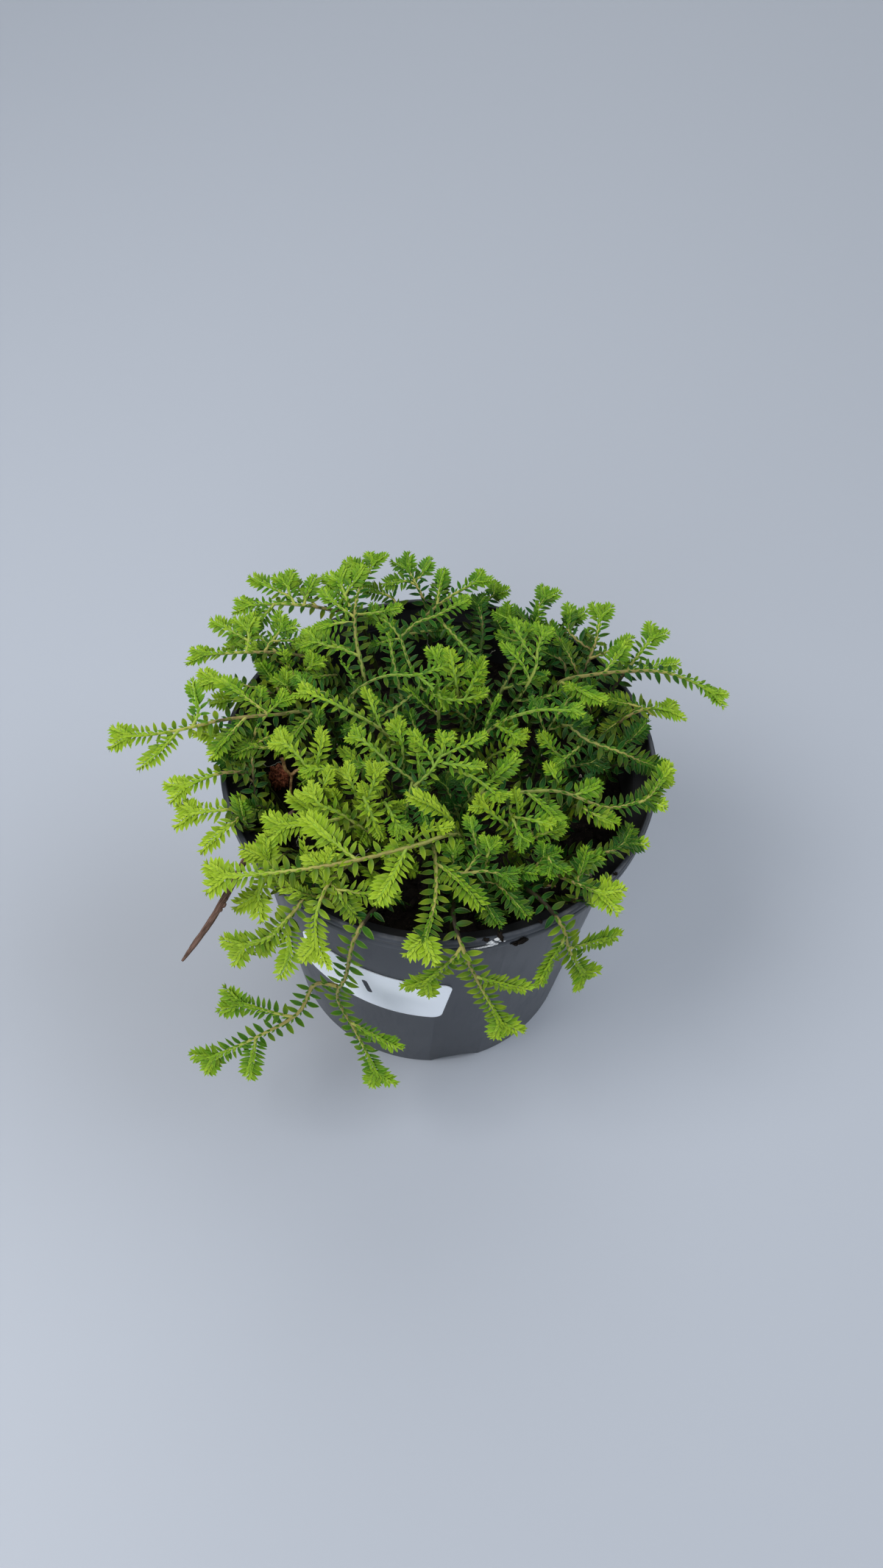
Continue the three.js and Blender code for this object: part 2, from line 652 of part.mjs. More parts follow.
/** The flat layout of one spray: ribs first, then a leaf at every site, as long as there is room. */
class Spray {
  constructor(seed, rail, spots = [], faces = []) {
    this.seed = seed;
    this.rail = rail;
    this.spots = spots;
    this.faces = faces;
    this.sites = [];
    this.laid = [];
  }

  spot(along, left, half, above = 0) {
    this.spots.push({ rail: this.rail, along, left, half, above });
    return this.spots.length - 1;
  }

  fill(...ring) {
    for (let i = 2; i < ring.length; i++) {
      this.laid.push([ring[0], ring[i - 1], ring[i]]);
    }
    this.faces.push(...this.laid.slice(2 - ring.length));
  }

  /** A spot given ahead of and beside a place on an axis that runs at `heading`. */
  beside({ along, left }, heading, ahead, aside, half, above = 0) {
    const [cosine, sine] = [Math.cos(heading), Math.sin(heading)];
    const [x, y] = [ahead * cosine - aside * sine, ahead * sine + aside * cosine];
    return this.spot(along + x, left + y, half, above);
  }

  /** Lays the rib's next stretch and returns its new front edge. */
  rib([leftSpot, rightSpot], at, heading, halfWidth, half) {
    const front = [1, -1].map((side) => this.beside(at, heading, 0, side * halfWidth, half));
    this.fill(leftSpot, rightSpot, front[1], front[0]);
    return front;
  }

  /** Grows one axis from a base edge; `branches` holds [distance, signed length or arm] of each. */
  grow(base, start, heading, length, halfWidth, branches, forked) {
    const pairs = Math.max(1, Math.round(length / LEAF_PITCH));
    const pitch = length / pairs;
    let edge = base;
    const at = (distance) => ({
      along: start.along + distance * Math.cos(heading),
      left: start.left + distance * Math.sin(heading),
    });
    for (let i = 1; i <= pairs; i++) {
      const share = i / pairs;
      const width = THREE.MathUtils.lerp(halfWidth, TIP_HALF_WIDTH, share);
      const half = THREE.MathUtils.lerp(STEM_HALF_THICKNESS, TIP_HALF_THICKNESS, share);
      const back = this.rib(edge, at(i * pitch - LEAF_FOOT), heading, width, half);
      edge = this.rib(back, at(i * pitch), heading, width, half);
      const here = at(i * pitch - LEAF_FOOT / 2);
      const branch = branches.find(([distance]) => Math.round(distance / pitch) === i);
      for (const side of [1, -1]) {
        const foot = side > 0 ? [back[0], edge[0]] : [edge[1], back[1]];
        const turn = heading + side * radians(BRANCH_ANGLE);
        if (branch && Math.sign(branch[1]) === side) {
          const size = Math.abs(branch[1]);
          this.grow(foot, here, turn, size, halfWidth * 0.85, [], size > FORKED_BRANCH);
        } else if (branch && branch[1].side === side) {
          this.arm(foot, here, turn, branch[1]);
        } else {
          this.sites.push({ foot, here, heading, side, share });
        }
      }
    }
    if (forked) {
      const middle = this.beside(at(length), heading, FORK_STALK, 0, TIP_HALF_THICKNESS);
      this.fill(...edge, middle);
      this.bud([edge[0], middle], at(length), heading + radians(FORK_ANGLE), 1, FORK_INNER);
      this.bud([middle, edge[1]], at(length), heading - radians(FORK_ANGLE), FORK_INNER, 1);
    } else {
      this.bud(edge, at(length), heading, 1, 1);
    }
  }

  /** An arm starts in the flat layout like a branch and then follows a route of its own. */
  arm(foot, here, heading, { route, branches }) {
    const start = {
      along: here.along + ARM_START * Math.cos(heading),
      left: here.left + ARM_START * Math.sin(heading),
    };
    const edge = this.rib(foot, start, heading, STEM_HALF_WIDTH, STEM_HALF_THICKNESS);
    const { tangent, side } = this.rail.frame(start.along);
    const left = side.multiplyScalar(Math.cos(heading)).addScaledVector(tangent, -Math.sin(heading));
    const inLayout = [here, start].map((spot) => this.rail.at(spot.along, spot.left, 0));
    const rail = new Rail([...inLayout, ...route.map((point) => place(...point))], left);
    const arm = new Spray(this.seed + ARM_SEED, rail, this.spots, this.faces);
    const leafyStart = { along: ARM_BARE, left: 0 };
    const base = arm.rib(edge, leafyStart, 0, STEM_HALF_WIDTH, STEM_HALF_THICKNESS);
    const turns = branches.map(([share, size]) => [share * rail.length - ARM_BARE, size]);
    arm.grow(base, leafyStart, 0, rail.length - ARM_BARE, STEM_HALF_WIDTH, turns, true);
    arm.leaf();
  }

  /** The pointed, toothed cluster of young leaves at a tip. */
  bud(foot, at, heading, leftWidth, rightWidth) {
    const corner = ([ahead, aside], width) => (
      this.beside(at, heading, ahead, aside * width, LEAF_HALF_THICKNESS)
    );
    const rightSide = BUD_TEETH.map(([ahead, aside]) => corner([ahead, -aside], rightWidth));
    const leftSide = BUD_TEETH.map((tooth) => corner(tooth, leftWidth)).reverse();
    this.fill(...foot, ...rightSide, corner([BUD_LENGTH, 0], 1), ...leftSide);
  }

  /** Puts a leaf at every site, at the largest size that clears all that is there already. */
  leaf() {
    this.sites.forEach(({ foot, here, heading, side, share }, n) => {
      const sway = (draw(n, this.seed) - 0.5) * LEAF_SWAY;
      const turn = heading + side * radians(LEAF_ANGLE - LEAF_CLOSING * share ** 3 + sway);
      const full = LEAF_LENGTH * (0.92 + 0.16 * draw(n, this.seed + 1));
      const above = (draw(n, this.seed + 2) - 0.5) * 0.5;
      const tipOf = (size) => [here.along + size * Math.cos(turn), here.left + size * Math.sin(turn)];
      const ring = foot.map((i) => [this.spots[i].along, this.spots[i].left]);
      const sizes = LEAF_SIZES.map((part) => part * full);
      const size = sizes.find((long) => this.clear([...ring, tipOf(long)], foot));
      if (size) {
        this.fill(...foot, this.spot(...tipOf(size), LEAF_HALF_THICKNESS, above));
      }
    });
  }

  /** True if a leaf stays clear of all that is laid; beside what it grows from only its outer part counts. */
  clear([back, front, tip], foot) {
    const raised = ([x, y]) => [x + LEAF_SHARED * (tip[0] - x), y + LEAF_SHARED * (tip[1] - y)];
    return this.laid.every((face) => {
      const joined = face.some((i) => foot.includes(i));
      const leaf = joined ? [raised(back), raised(front), tip] : [back, front, tip];
      const room = joined ? 0 : LEAF_CLEARANCE;
      const other = face.map((i) => [this.spots[i].along, this.spots[i].left]);
      return apart(leaf, other, room) || apart(other, leaf, room);
    });
  }
}

/** True if some edge of the first triangle has all of the second triangle beyond it. */
function apart(triangle, other, distance) {
  return triangle.some(([x, y], i) => {
    const [nextX, nextY] = triangle[(i + 1) % 3];
    const size = Math.hypot(nextX - x, nextY - y);
    const [outX, outY] = [(nextY - y) / size, (x - nextX) / size];
    return other.every(([px, py]) => (px - x) * outX + (py - y) * outY > distance);
  });
}

function stemGeometry({ route, roll, branches, arm }, seed) {
  const { foot, lean, rail } = rootedRail(route, roll);
  const spray = new Spray(seed, rail);
  // The bare foot of the stem, from the bottom of its hole to the first leaf
  const first = ROOT_DEPTH + BARE_STEM;
  let edge = [1, -1].map((side) => spray.spot(0, side * STEM_HALF_WIDTH, STEM_HALF_THICKNESS));
  for (const along of [ROOT_DEPTH, ROOT_DEPTH + BARE_STEM * 0.5]) {
    edge = spray.rib(edge, { along, left: 0 }, 0, STEM_HALF_WIDTH, STEM_HALF_THICKNESS);
  }
  const leafy = rail.length - first;
  const turns = [...branches, ...(arm ? [[arm.from, arm]] : [])]
    .map(([share, grown]) => [share * rail.length - first, grown]);
  spray.grow(edge, { along: first, left: 0 }, 0, leafy, STEM_HALF_WIDTH, turns, true);
  spray.leaf();
  const seat = (spot, side) => spot.rail.at(spot.along, spot.left, spot.above + side * spot.half);
  return { geometry: sheetGeometry(spray.spots, spray.faces, seat), foot, lean };
}

/** The hole that a stem stands in, along the stem's own lean. */
function holeGeometry(foot, lean) {
  const below = ROOT_DEPTH + GAP;
  const turn = new THREE.Quaternion().setFromUnitVectors(new THREE.Vector3(0, 1, 0), lean);
  const centre = foot.clone().addScaledVector(lean, (HOLE_ABOVE - below) / 2);
  return new THREE.CylinderGeometry(HOLE_RADIUS, HOLE_RADIUS, HOLE_ABOVE + below, HOLE_SIDES)
    .applyQuaternion(turn)
    .translate(centre.x, centre.y, centre.z);
}

// ---------------------------------------------------------------------------------------
// The scene graph
// ---------------------------------------------------------------------------------------
const plant = new THREE.Group();

function add(name, geometry, { color, roughness, metalness = 0 }) {
  const mesh = new THREE.Mesh(geometry, new THREE.MeshStandardMaterial({ color, roughness, metalness }));
  mesh.name = name;
  plant.add(mesh);
}

const holes = [];
STEMS.forEach((stem, index) => {
  const { geometry, foot, lean } = stemGeometry(stem, index + 1);
  holes.push(holeGeometry(foot, lean));
  add(stem.name, geometry, { color: 0x6fa52a, roughness: 0.55 });
});
add('pot', potGeometry(), { color: 0x23272e, roughness: 0.45 });
add('soil', soilGeometry(holes), { color: 0x1d1712, roughness: 0.95 });
add('label', labelGeometry(), { color: 0xe9edf2, roughness: 0.6 });
add('twig', twigGeometry(), { color: 0x6b4a3a, roughness: 0.85 });
add('bark_chip', lumpGeometry(BARK_CHIP), { color: 0x6a2f1e, roughness: 0.9 });
add('perlite_grain', lumpGeometry(PERLITE), { color: 0xd9d5cc, roughness: 0.9 });

export default plant;
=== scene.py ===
"""A creeping spikemoss in its nursery pot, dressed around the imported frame. Sizes are in millimetres
until a piece is set in place; azimuths are degrees round the pot's axis, -90 being the front."""

import json
from math import atan2, copysign, cos, degrees, floor, hypot, pi, radians, sin, sqrt

import bmesh
import bpy
from mathutils import Matrix, Vector, noise
from mathutils.geometry import interpolate_bezier

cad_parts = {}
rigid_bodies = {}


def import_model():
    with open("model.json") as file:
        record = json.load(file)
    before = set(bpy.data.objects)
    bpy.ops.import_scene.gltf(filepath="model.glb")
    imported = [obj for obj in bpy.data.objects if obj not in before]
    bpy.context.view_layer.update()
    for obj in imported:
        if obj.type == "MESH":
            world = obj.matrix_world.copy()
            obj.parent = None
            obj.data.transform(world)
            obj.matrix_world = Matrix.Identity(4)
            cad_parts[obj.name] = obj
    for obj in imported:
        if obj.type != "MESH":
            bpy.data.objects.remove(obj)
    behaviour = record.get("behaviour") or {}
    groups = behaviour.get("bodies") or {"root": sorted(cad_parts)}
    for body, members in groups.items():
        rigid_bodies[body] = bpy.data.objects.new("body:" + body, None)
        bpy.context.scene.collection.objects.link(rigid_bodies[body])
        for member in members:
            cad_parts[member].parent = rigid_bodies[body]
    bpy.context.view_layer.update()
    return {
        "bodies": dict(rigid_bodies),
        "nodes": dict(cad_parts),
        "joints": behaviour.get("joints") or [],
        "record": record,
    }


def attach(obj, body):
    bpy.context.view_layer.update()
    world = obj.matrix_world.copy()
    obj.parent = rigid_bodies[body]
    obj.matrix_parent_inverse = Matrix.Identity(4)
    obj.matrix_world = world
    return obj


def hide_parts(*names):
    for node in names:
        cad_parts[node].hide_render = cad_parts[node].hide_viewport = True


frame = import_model()

# ==== Camera, light and floor ====
# The plant is seen from above and in front, in the soft light of an open shed. It stands on a plain
# painted table top, which is no part of it.
EYE = (0.00091, -0.20073, 0.35871)
LOOK_DOWN = 53.3
LEAN = 3.21
LENS = 27.03
MAT = (0, 0, 0.08)
SKY = ((0.84, 0.88, 0.93, 1), 0.155)
TABLE_SIZE = 3
TABLE_PAINT = ((0.42, 0.452, 0.515, 1), 0.55)


def add_object(name, data):
    """Puts an object with its data into the scene."""
    made = bpy.data.objects.new(name, data)
    bpy.context.collection.objects.link(made)
    return made


def as_mesh(shape, name):
    """The mesh of a finished shape."""
    mesh = bpy.data.meshes.new(name)
    shape.to_mesh(mesh)
    shape.free()
    return mesh


camera_data = bpy.data.cameras.new("camera")
camera_data.lens = LENS
camera_data.clip_start = 0.01
camera = add_object("camera", camera_data)
camera.matrix_world = (Matrix.Translation(EYE) @ Matrix.Rotation(radians(90 - LOOK_DOWN), 4, "X")
                       @ Matrix.Rotation(radians(LEAN), 4, "Z"))
bpy.context.scene.camera = camera


def hang_lamp(name, kind, place, aim, size, power, colour):
    """A round lamp of a size, or a soft stretch of sky that lights from its side at an angle."""
    lamp_data = bpy.data.lights.new(name, kind)
    if kind == "AREA":
        lamp_data.shape = "DISK"
        lamp_data.size = size
    else:
        lamp_data.angle = size
    lamp_data.energy = power
    lamp_data.color = colour
    lamp = add_object(name, lamp_data)
    lamp.location = place
    lamp.rotation_euler = (Vector(place) - Vector(aim)).to_track_quat("Z", "Y").to_euler()


hang_lamp("open_side", "AREA", (-0.55, -0.25, 0.90), MAT, 0.55, 6.6, (1.0, 0.99, 0.97))
hang_lamp("far_sky", "SUN", (0.10, 0.90, 0.95), MAT, 0.9, 0.75, (0.95, 0.98, 1.0))
hang_lamp("far_side", "SUN", (0.95, 0.10, 0.80), (0.15, 0, 0), 0.8, 1.3, (0.90, 0.95, 1.0))
hang_lamp("front_fill", "SUN", (-0.25, -1.0, 0.45), (0, 0, 0.05), 0.9, 1.2, (0.92, 0.96, 1.0))

world = bpy.data.worlds.new("shed_air")
world.use_nodes = True
sky = world.node_tree.nodes["Background"].inputs
sky["Color"].default_value, sky["Strength"].default_value = SKY
bpy.context.scene.world = world
bpy.context.scene.view_settings.view_transform = "Standard"

table = bmesh.new()
bmesh.ops.create_grid(table, x_segments=1, y_segments=1, size=TABLE_SIZE)
table_top = add_object("table_top", as_mesh(table, "table_top"))
pale_paint = bpy.data.materials.new("pale_paint")
pale_paint.use_nodes = True
paint = pale_paint.node_tree.nodes["Principled BSDF"].inputs
paint["Base Color"].default_value, paint["Roughness"].default_value = TABLE_PAINT
table_top.data.materials.append(pale_paint)

# ==== The pot ====
# A 12 cm nursery pot, injection moulded in one piece of black plastic: a thin tapered wall under
# a collar, a foot ring with arched notches, and a floor with round drainage holes.
MM = 0.001
POT_HEIGHT = 104
COLLAR_FOOT = 98.5
RIM_RADIUS = 60
LIP_INSIDE = 58.9
BODY_TOP_RADIUS = 55.4
FOOT_RADIUS = 45
FLOOR_TOP = 4.5
POT_PROFILE = [
    (0, 0), (12, 0), (12.6, 2.4), (41.4, 2.4), (41.7, 0), (FOOT_RADIUS, 0), (55.35, 98),
    (55.55, COLLAR_FOOT), (LIP_INSIDE, COLLAR_FOOT), (59.7, 98.9), (59.85, 101.2), (59.4, 101.5),
    (59.45, 101.8), (59.95, 102.1), (RIM_RADIUS, 103.6), (59.6, POT_HEIGHT), (58.7, POT_HEIGHT),
    (58.4, 103.7), (58.1, 101.2), (54.3, 99.8), (44.18, FLOOR_TOP), (0, FLOOR_TOP)]
POT_ROUNDING = 0.35
POT_STEPS = 180
WALL_LEAN = (BODY_TOP_RADIUS - FOOT_RADIUS) / 98
NOTCH_WIDTH = 16
NOTCH_HEIGHT = 3.6
NOTCHES = [-77, 13, 103, 193]
NOTCH_SIDES = 64
DRAIN_HOLES = [-60, 0, 60, 120, 180, 240]
DRAIN_RING = 28
DRAIN_RADIUS = 4.5
DRAIN_SIDES = 32


def at(azimuth, radius, height=0.0):
    """A place round the pot's axis."""
    return Vector((radius * cos(radians(azimuth)), radius * sin(radians(azimuth)), height))


def mesh_of(shape, name, crease):
    """The finished mesh of a shape made in millimetres, smooth but for edges sharper than crease."""
    bmesh.ops.scale(shape, vec=(MM, MM, MM), verts=shape.verts)
    mesh = as_mesh(shape, name)
    mesh.shade_smooth()
    mesh.set_sharp_from_angle(angle=radians(crease))
    return mesh


def set_in_place(name, shape, crease, finish, slot, *stands_for):
    """Puts a piece into the scene, on the one body, with its finish."""
    piece = add_object(name, mesh_of(shape, name, crease))
    piece.data.materials.append(finish)
    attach(piece, "root")
    if stands_for:
        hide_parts(*stands_for)
    return piece


class Output:
    """What a shader node gives out; outputs can be added, subtracted and multiplied."""

    def __init__(self, socket):
        self.socket, self.tree = socket, socket.id_data

    def __add__(self, other):
        return calc("ADD", self, other)

    def __sub__(self, other):
        return calc("SUBTRACT", self, other)

    def __mul__(self, other):
        return calc("MULTIPLY", self, other)


def plug(socket, value):
    """Feeds a socket with another node's output, or sets its own number, vector or colour."""
    if isinstance(value, Output):
        value.tree.links.new(value.socket, socket)
    else:
        socket.default_value = (*value, 1) if socket.type == "RGBA" else value


def add_node(tree, kind, outlet=0, settings=None, **inputs):
    """Adds a shader node and gives back one of its outputs; in an input's name _ is a space."""
    made = tree.nodes.new("ShaderNode" + kind)
    for name, value in (settings or {}).items():
        setattr(made, name, value)
    for name, value in inputs.items():
        plug(made.inputs[int(name[2:]) if name[:2] == "in" else name.replace("_", " ")], value)
    return Output(made.outputs[outlet])


def calc(operation, *values):
    """What a Math node makes of its values, the first of which is an output."""
    inputs = {f"in{i}": value for i, value in enumerate(values)}
    return add_node(values[0].tree, "Math", settings={"operation": operation}, **inputs)


def blend(share, first, second):
    """Two colours mixed by a share."""
    settings = {"data_type": "RGBA", "clamp_factor": True}
    return add_node(share.tree, "Mix", 2, settings, in0=share, in6=first, in7=second)


def between(value, low, high, to_low=0.0, to_high=1.0):
    """A value carried from one range to another, and held inside it."""
    return add_node(value.tree, "MapRange", settings={"interpolation_type": "SMOOTHSTEP"}, Value=value,
                    From_Min=low, From_Max=high, To_Min=to_low, To_Max=to_high)


def cloud(where, scale, detail=3.0, rough=0.5):
    """Soft noise at a scale given per metre."""
    return add_node(where.tree, "TexNoise", Vector=where, Scale=scale, Detail=detail, Roughness=rough)


def parts(vector):
    """The three parts of a vector."""
    node = add_node(vector.tree, "SeparateXYZ", Vector=vector).socket.node
    return [Output(socket) for socket in node.outputs]


def off_axis(where):
    """The distance of a point from the pot's axis."""
    flat = add_node(where.tree, "Mapping", Vector=where, Scale=(1.0, 1.0, 0.0))
    return add_node(where.tree, "VectorMath", "Value", {"operation": "LENGTH"}, in0=flat)


def new_finish(name, gloss):
    """A material with an even gloss, and the place on a surface that its patterns follow."""
    finish = bpy.data.materials.new(name)
    finish.use_nodes = True
    finish.node_tree.nodes["Principled BSDF"].inputs["Specular IOR Level"].default_value = gloss
    return finish, add_node(finish.node_tree, "TexCoord", "Object")


def dress(finish, colour, roughness, relief=None, strength=0.0, depth=0.0):
    """Joins a finish's colour, roughness and relief to its shader."""
    sockets = finish.node_tree.nodes["Principled BSDF"].inputs
    plug(sockets["Base Color"], colour)
    plug(sockets["Roughness"], roughness)
    if relief:
        bump = add_node(finish.node_tree, "Bump", Strength=strength, Distance=depth, Height=relief)
        plug(sockets["Normal"], bump)


# Dust and fine soil that has settled in patches, most on what faces up
dust_group = bpy.data.node_groups.new("settled_dust", "ShaderNodeTree")
for name, kind in (("Where", "Vector"), ("Scale", "Float"), ("Cover", "Float")):
    dust_group.interface.new_socket(name, in_out="INPUT", socket_type="NodeSocket" + kind)
dust_group.interface.new_socket("Mask", in_out="OUTPUT", socket_type="NodeSocketFloat")
given = dust_group.nodes.new("NodeGroupInput").outputs
dust_where, dust_scale, cover = [Output(socket) for socket in given[:3]]
facing_up = parts(add_node(dust_group, "NewGeometry", "Normal"))[2]
patches = cloud(dust_where, dust_scale, 6.0, 0.62)
mask = between(patches + facing_up * 0.12 + cover, 0.58, 0.86)
plug(dust_group.nodes.new("NodeGroupOutput").inputs["Mask"], mask)


def settled_dust(where, scale, cover):
    """Where dust lies, in patches of a scale."""
    return add_node(where.tree, "Group", "Mask", {"node_tree": dust_group}, Where=where, Scale=scale,
                    Cover=cover)


black_plastic, where = new_finish("black_plastic", 0.32)
scuffs = add_node(where.tree, "Mapping", Vector=where, Scale=(1.0, 1.0, 0.16))
flow = cloud(where, 22, 2)
streaks = between(cloud(scuffs, 260, 4, 0.6), 0.45, 0.75)
plain = blend(flow, (0.030, 0.034, 0.042), (0.046, 0.052, 0.064))
scuffed = blend(streaks * 0.22, plain, (0.11, 0.12, 0.14))
dusted = blend(settled_dust(where, 150.0, -0.06) * 0.35, scuffed, (0.20, 0.19, 0.175))
# Inside, the wall and the collar's inner face are painted near black and made rougher, a painted shade; its
# outer face leans out with height
across = off_axis(where)
height = parts(where)[2]
outer_face = calc("MULTIPLY_ADD", height, WALL_LEAN, FOOT_RADIUS * MM)
collar = (COLLAR_FOOT * MM, COLLAR_FOOT * MM + 0.001)
in_body = between(outer_face - across, 0.0004, 0.0009) * between(height, *collar, 1.0, 0.0)
in_collar = between(across, LIP_INSIDE * MM, (LIP_INSIDE - 0.5) * MM) * between(height, *collar)
painted_shade_inside = calc("MAXIMUM", in_body, in_collar)
worn = streaks * 0.10 + between(flow, 0.3, 0.7, 0.30, 0.42)
dress(black_plastic, blend(painted_shade_inside * 0.92, dusted, (0.002, 0.002, 0.002)),
      calc("MULTIPLY_ADD", painted_shade_inside, 0.55, worn), cloud(where, 1800, 2) + streaks * 0.6, 0.12, 0.00012)


def turned(profile, steps, rounding=0.0):
    """A shape spun round the pot's axis from a profile of (radius, height)."""
    shape = bmesh.new()
    line = [shape.verts.new((radius, 0, height)) for radius, height in profile]
    for first, second in zip(line, line[1:]):
        shape.edges.new((first, second))
    if rounding:
        bmesh.ops.bevel(shape, geom=line[1:-1], offset=rounding, affect="VERTICES", segments=2, profile=0.5,
                        material=-1)
    bmesh.ops.spin(shape, geom=shape.verts[:] + shape.edges[:], angle=2 * pi, steps=steps, axis=(0, 0, 1),
                   cent=(0, 0, 0), use_merge=True)
    bmesh.ops.remove_doubles(shape, verts=shape.verts, dist=0.001)
    bmesh.ops.recalc_face_normals(shape, faces=shape.faces)
    return shape


def cut_away(piece, name, tools):
    """Takes the shape of the tools out of a piece."""
    cutter = add_object(name, mesh_of(tools, name, 50))
    cut = piece.modifiers.new(name, "BOOLEAN")
    cut.object = cutter
    cut.operation = "DIFFERENCE"
    cut.solver = "EXACT"
    left = bpy.data.meshes.new_from_object(piece.evaluated_get(bpy.context.evaluated_depsgraph_get()))
    piece.modifiers.remove(cut)
    bpy.data.objects.remove(cutter)
    piece.data = left


pot_shape = turned(POT_PROFILE, POT_STEPS, POT_ROUNDING)
pot_piece = set_in_place("moulded_pot", pot_shape, 35, black_plastic, "pot_plastic", "pot")
openings = bmesh.new()
arch = ((NOTCH_WIDTH / 2) ** 2 + NOTCH_HEIGHT ** 2) / (2 * NOTCH_HEIGHT)
for azimuth in NOTCHES:
    bmesh.ops.create_cone(openings, cap_ends=True, segments=NOTCH_SIDES, radius1=arch, radius2=arch, depth=10,
                          matrix=Matrix.Rotation(radians(azimuth), 4, "Z")
                          @ Matrix.Translation((FOOT_RADIUS - 2, 0, NOTCH_HEIGHT - arch))
                          @ Matrix.Rotation(radians(90), 4, "Y"))
for azimuth in DRAIN_HOLES:
    bmesh.ops.create_cone(openings, cap_ends=True, segments=DRAIN_SIDES, radius1=DRAIN_RADIUS,
                          radius2=DRAIN_RADIUS, depth=9,
                          matrix=Matrix.Translation(at(azimuth, DRAIN_RING, 2.3)))
cut_away(pot_piece, "openings", openings)

# ==== The potting mix ====
# Peat and composted bark, filled to a finger's width below the rim and watered level.
SOIL_TOP = 87
SOIL_RELIEF = 1.6
SOIL_ROUGH = 0.9
SOIL_EDGE = 52.5
SOIL_FOOT = (43.8, 4.8)
SOIL_RINGS = 26
CRUMBS = 900
CRUMB_REACH = 51.3
CRUMB_SIZE = 0.7
CRUMB_SPREAD = 2.6

soil_brown, where = new_finish("soil_brown", 0.12)
lumps = cloud(where, 420, 6, 0.65)
fleck = between(cloud(where, 1500, 2), 0.62, 0.72)
# The peat is painted near black: partly its own dark colour, partly painted shade, as it lies deep under the
# mat
dark_earth_and_shade = blend(between(lumps, 0.3, 0.7), (0.0022, 0.0018, 0.0015), (0.0120, 0.0085, 0.0060))
dress(soil_brown, blend(fleck * 0.5, dark_earth_and_shade, (0.050, 0.034, 0.022)), between(lumps, 0.3, 0.7, 0.96, 0.80),
      lumps, 0.8, 0.0006)


def ground(x, y):
    """Height of the potting mix, which is level where it meets the wall."""
    fade = max(0.0, 1 - (hypot(x, y) / SOIL_EDGE) ** 4)
    swell = sin(x * 0.17 + 1.3) * cos(y * 0.15 - 0.4) + 0.5 * sin((x - y) * 0.13)
    return SOIL_TOP + SOIL_RELIEF * fade * swell


def on_mix(azimuth, radius, lift=0.0):
    """A place on the potting mix, or lifted off it."""
    spot = at(azimuth, radius)
    spot.z = ground(spot.x, spot.y) + lift
    return spot


def draw(n, kind):
    """A repeatable draw from 0 to 1 for the n-th thing of a kind."""
    return (sin(n * 12.9898 + kind * 78.233) * 43758.5453) % 1


def lump_shape(name, detail, roughness, seed):
    """A rough lump one unit across, to be scattered or scaled."""
    lump = bmesh.new()
    bmesh.ops.create_icosphere(lump, subdivisions=detail, radius=0.5)
    for spot in lump.verts:
        spot.co *= 1 + roughness * noise.noise(spot.co * 2.6 + Vector((seed, 0, seed)))
    return as_mesh(lump, name)


def lie(spot, turn, size):
    """How a bit lies: its place, its turn in radians and its size along, across and up."""
    return Matrix.LocRotScale(spot, Matrix.Rotation(turn, 3, "Z"), size)


def lay(shape, pattern, placed, **marks):
    """Adds a placed copy of a pattern to a shape, with its marks, such as its age less its painted shade, on
    every point.
    """
    copy = pattern.copy()
    copy.transform(placed)
    for mark, value in marks.items():
        copy.attributes[mark].data.foreach_set("value", [value] * len(copy.vertices))
    shape.from_mesh(copy)
    bpy.data.meshes.remove(copy)


mix_outline = [(0, SOIL_FOOT[1]), SOIL_FOOT]
mix_outline += [(SOIL_EDGE * (1 - ring / SOIL_RINGS), SOIL_TOP) for ring in range(SOIL_RINGS + 1)]
mix_shape = turned(mix_outline, 120)
for spot in mix_shape.verts:
    if spot.co.z > SOIL_TOP - 1:
        rough = noise.fractal(spot.co * 0.4, 0.8, 2.0, 4)
        fade = 1 - (hypot(spot.co.x, spot.co.y) / SOIL_EDGE) ** 8
        spot.co.z = ground(spot.co.x, spot.co.y) + SOIL_ROUGH * rough * max(fade, 0)
set_in_place("potting_mix", mix_shape, 60, soil_brown, "potting_mix", "soil")

crumb_patterns = [lump_shape(f"crumb_{n}", 1, 0.9, 3.7 * n) for n in range(4)]
crumbs = bmesh.new()
for n in range(CRUMBS):
    size = CRUMB_SIZE + CRUMB_SPREAD * draw(n, 3) ** 3
    spot = on_mix(360 * draw(n, 1), CRUMB_REACH * sqrt(draw(n, 2)), size * 0.22)
    shape = (size * (1 + draw(n, 5)), size, size * 0.7)
    lay(crumbs, crumb_patterns[n % 4], lie(spot, 6.28 * draw(n, 4), shape))
set_in_place("soil_crumbs", crumbs, 60, soil_brown, "potting_mix")

# ==== The label ====
# A blank white paper sticker with round corners, smoothed on by hand a little askew; someone has
# made one short stroke on it with a marker.
LABEL_AZIMUTH = -108.5
LABEL_HEIGHT = 56.5
LABEL_WIDTH = 45
LABEL_TALL = 25
LABEL_TILT = 6
LABEL_CORNER = 3
LABEL_THICK = 0.25
LABEL_LIFT = 0.08
STROKE_FROM = (-1.6, 3.4)
STROKE_TO = (0.2, -2.6)
STROKE_HALF = 0.85
LABEL_STRIPS = ((40, LABEL_WIDTH, 1, 0), (8, LABEL_TALL, 0, 1))
INK_EDGE = 0.12

white_paper, where = new_finish("white_paper", 0.35)
fibres = cloud(where, 2400, 4, 0.7)
paper = blend(fibres, (0.855, 0.905, 1.0), (0.90, 0.95, 1.0))
paper = blend(settled_dust(where, 90.0, -0.05) * 0.18, paper, (0.48, 0.45, 0.40))
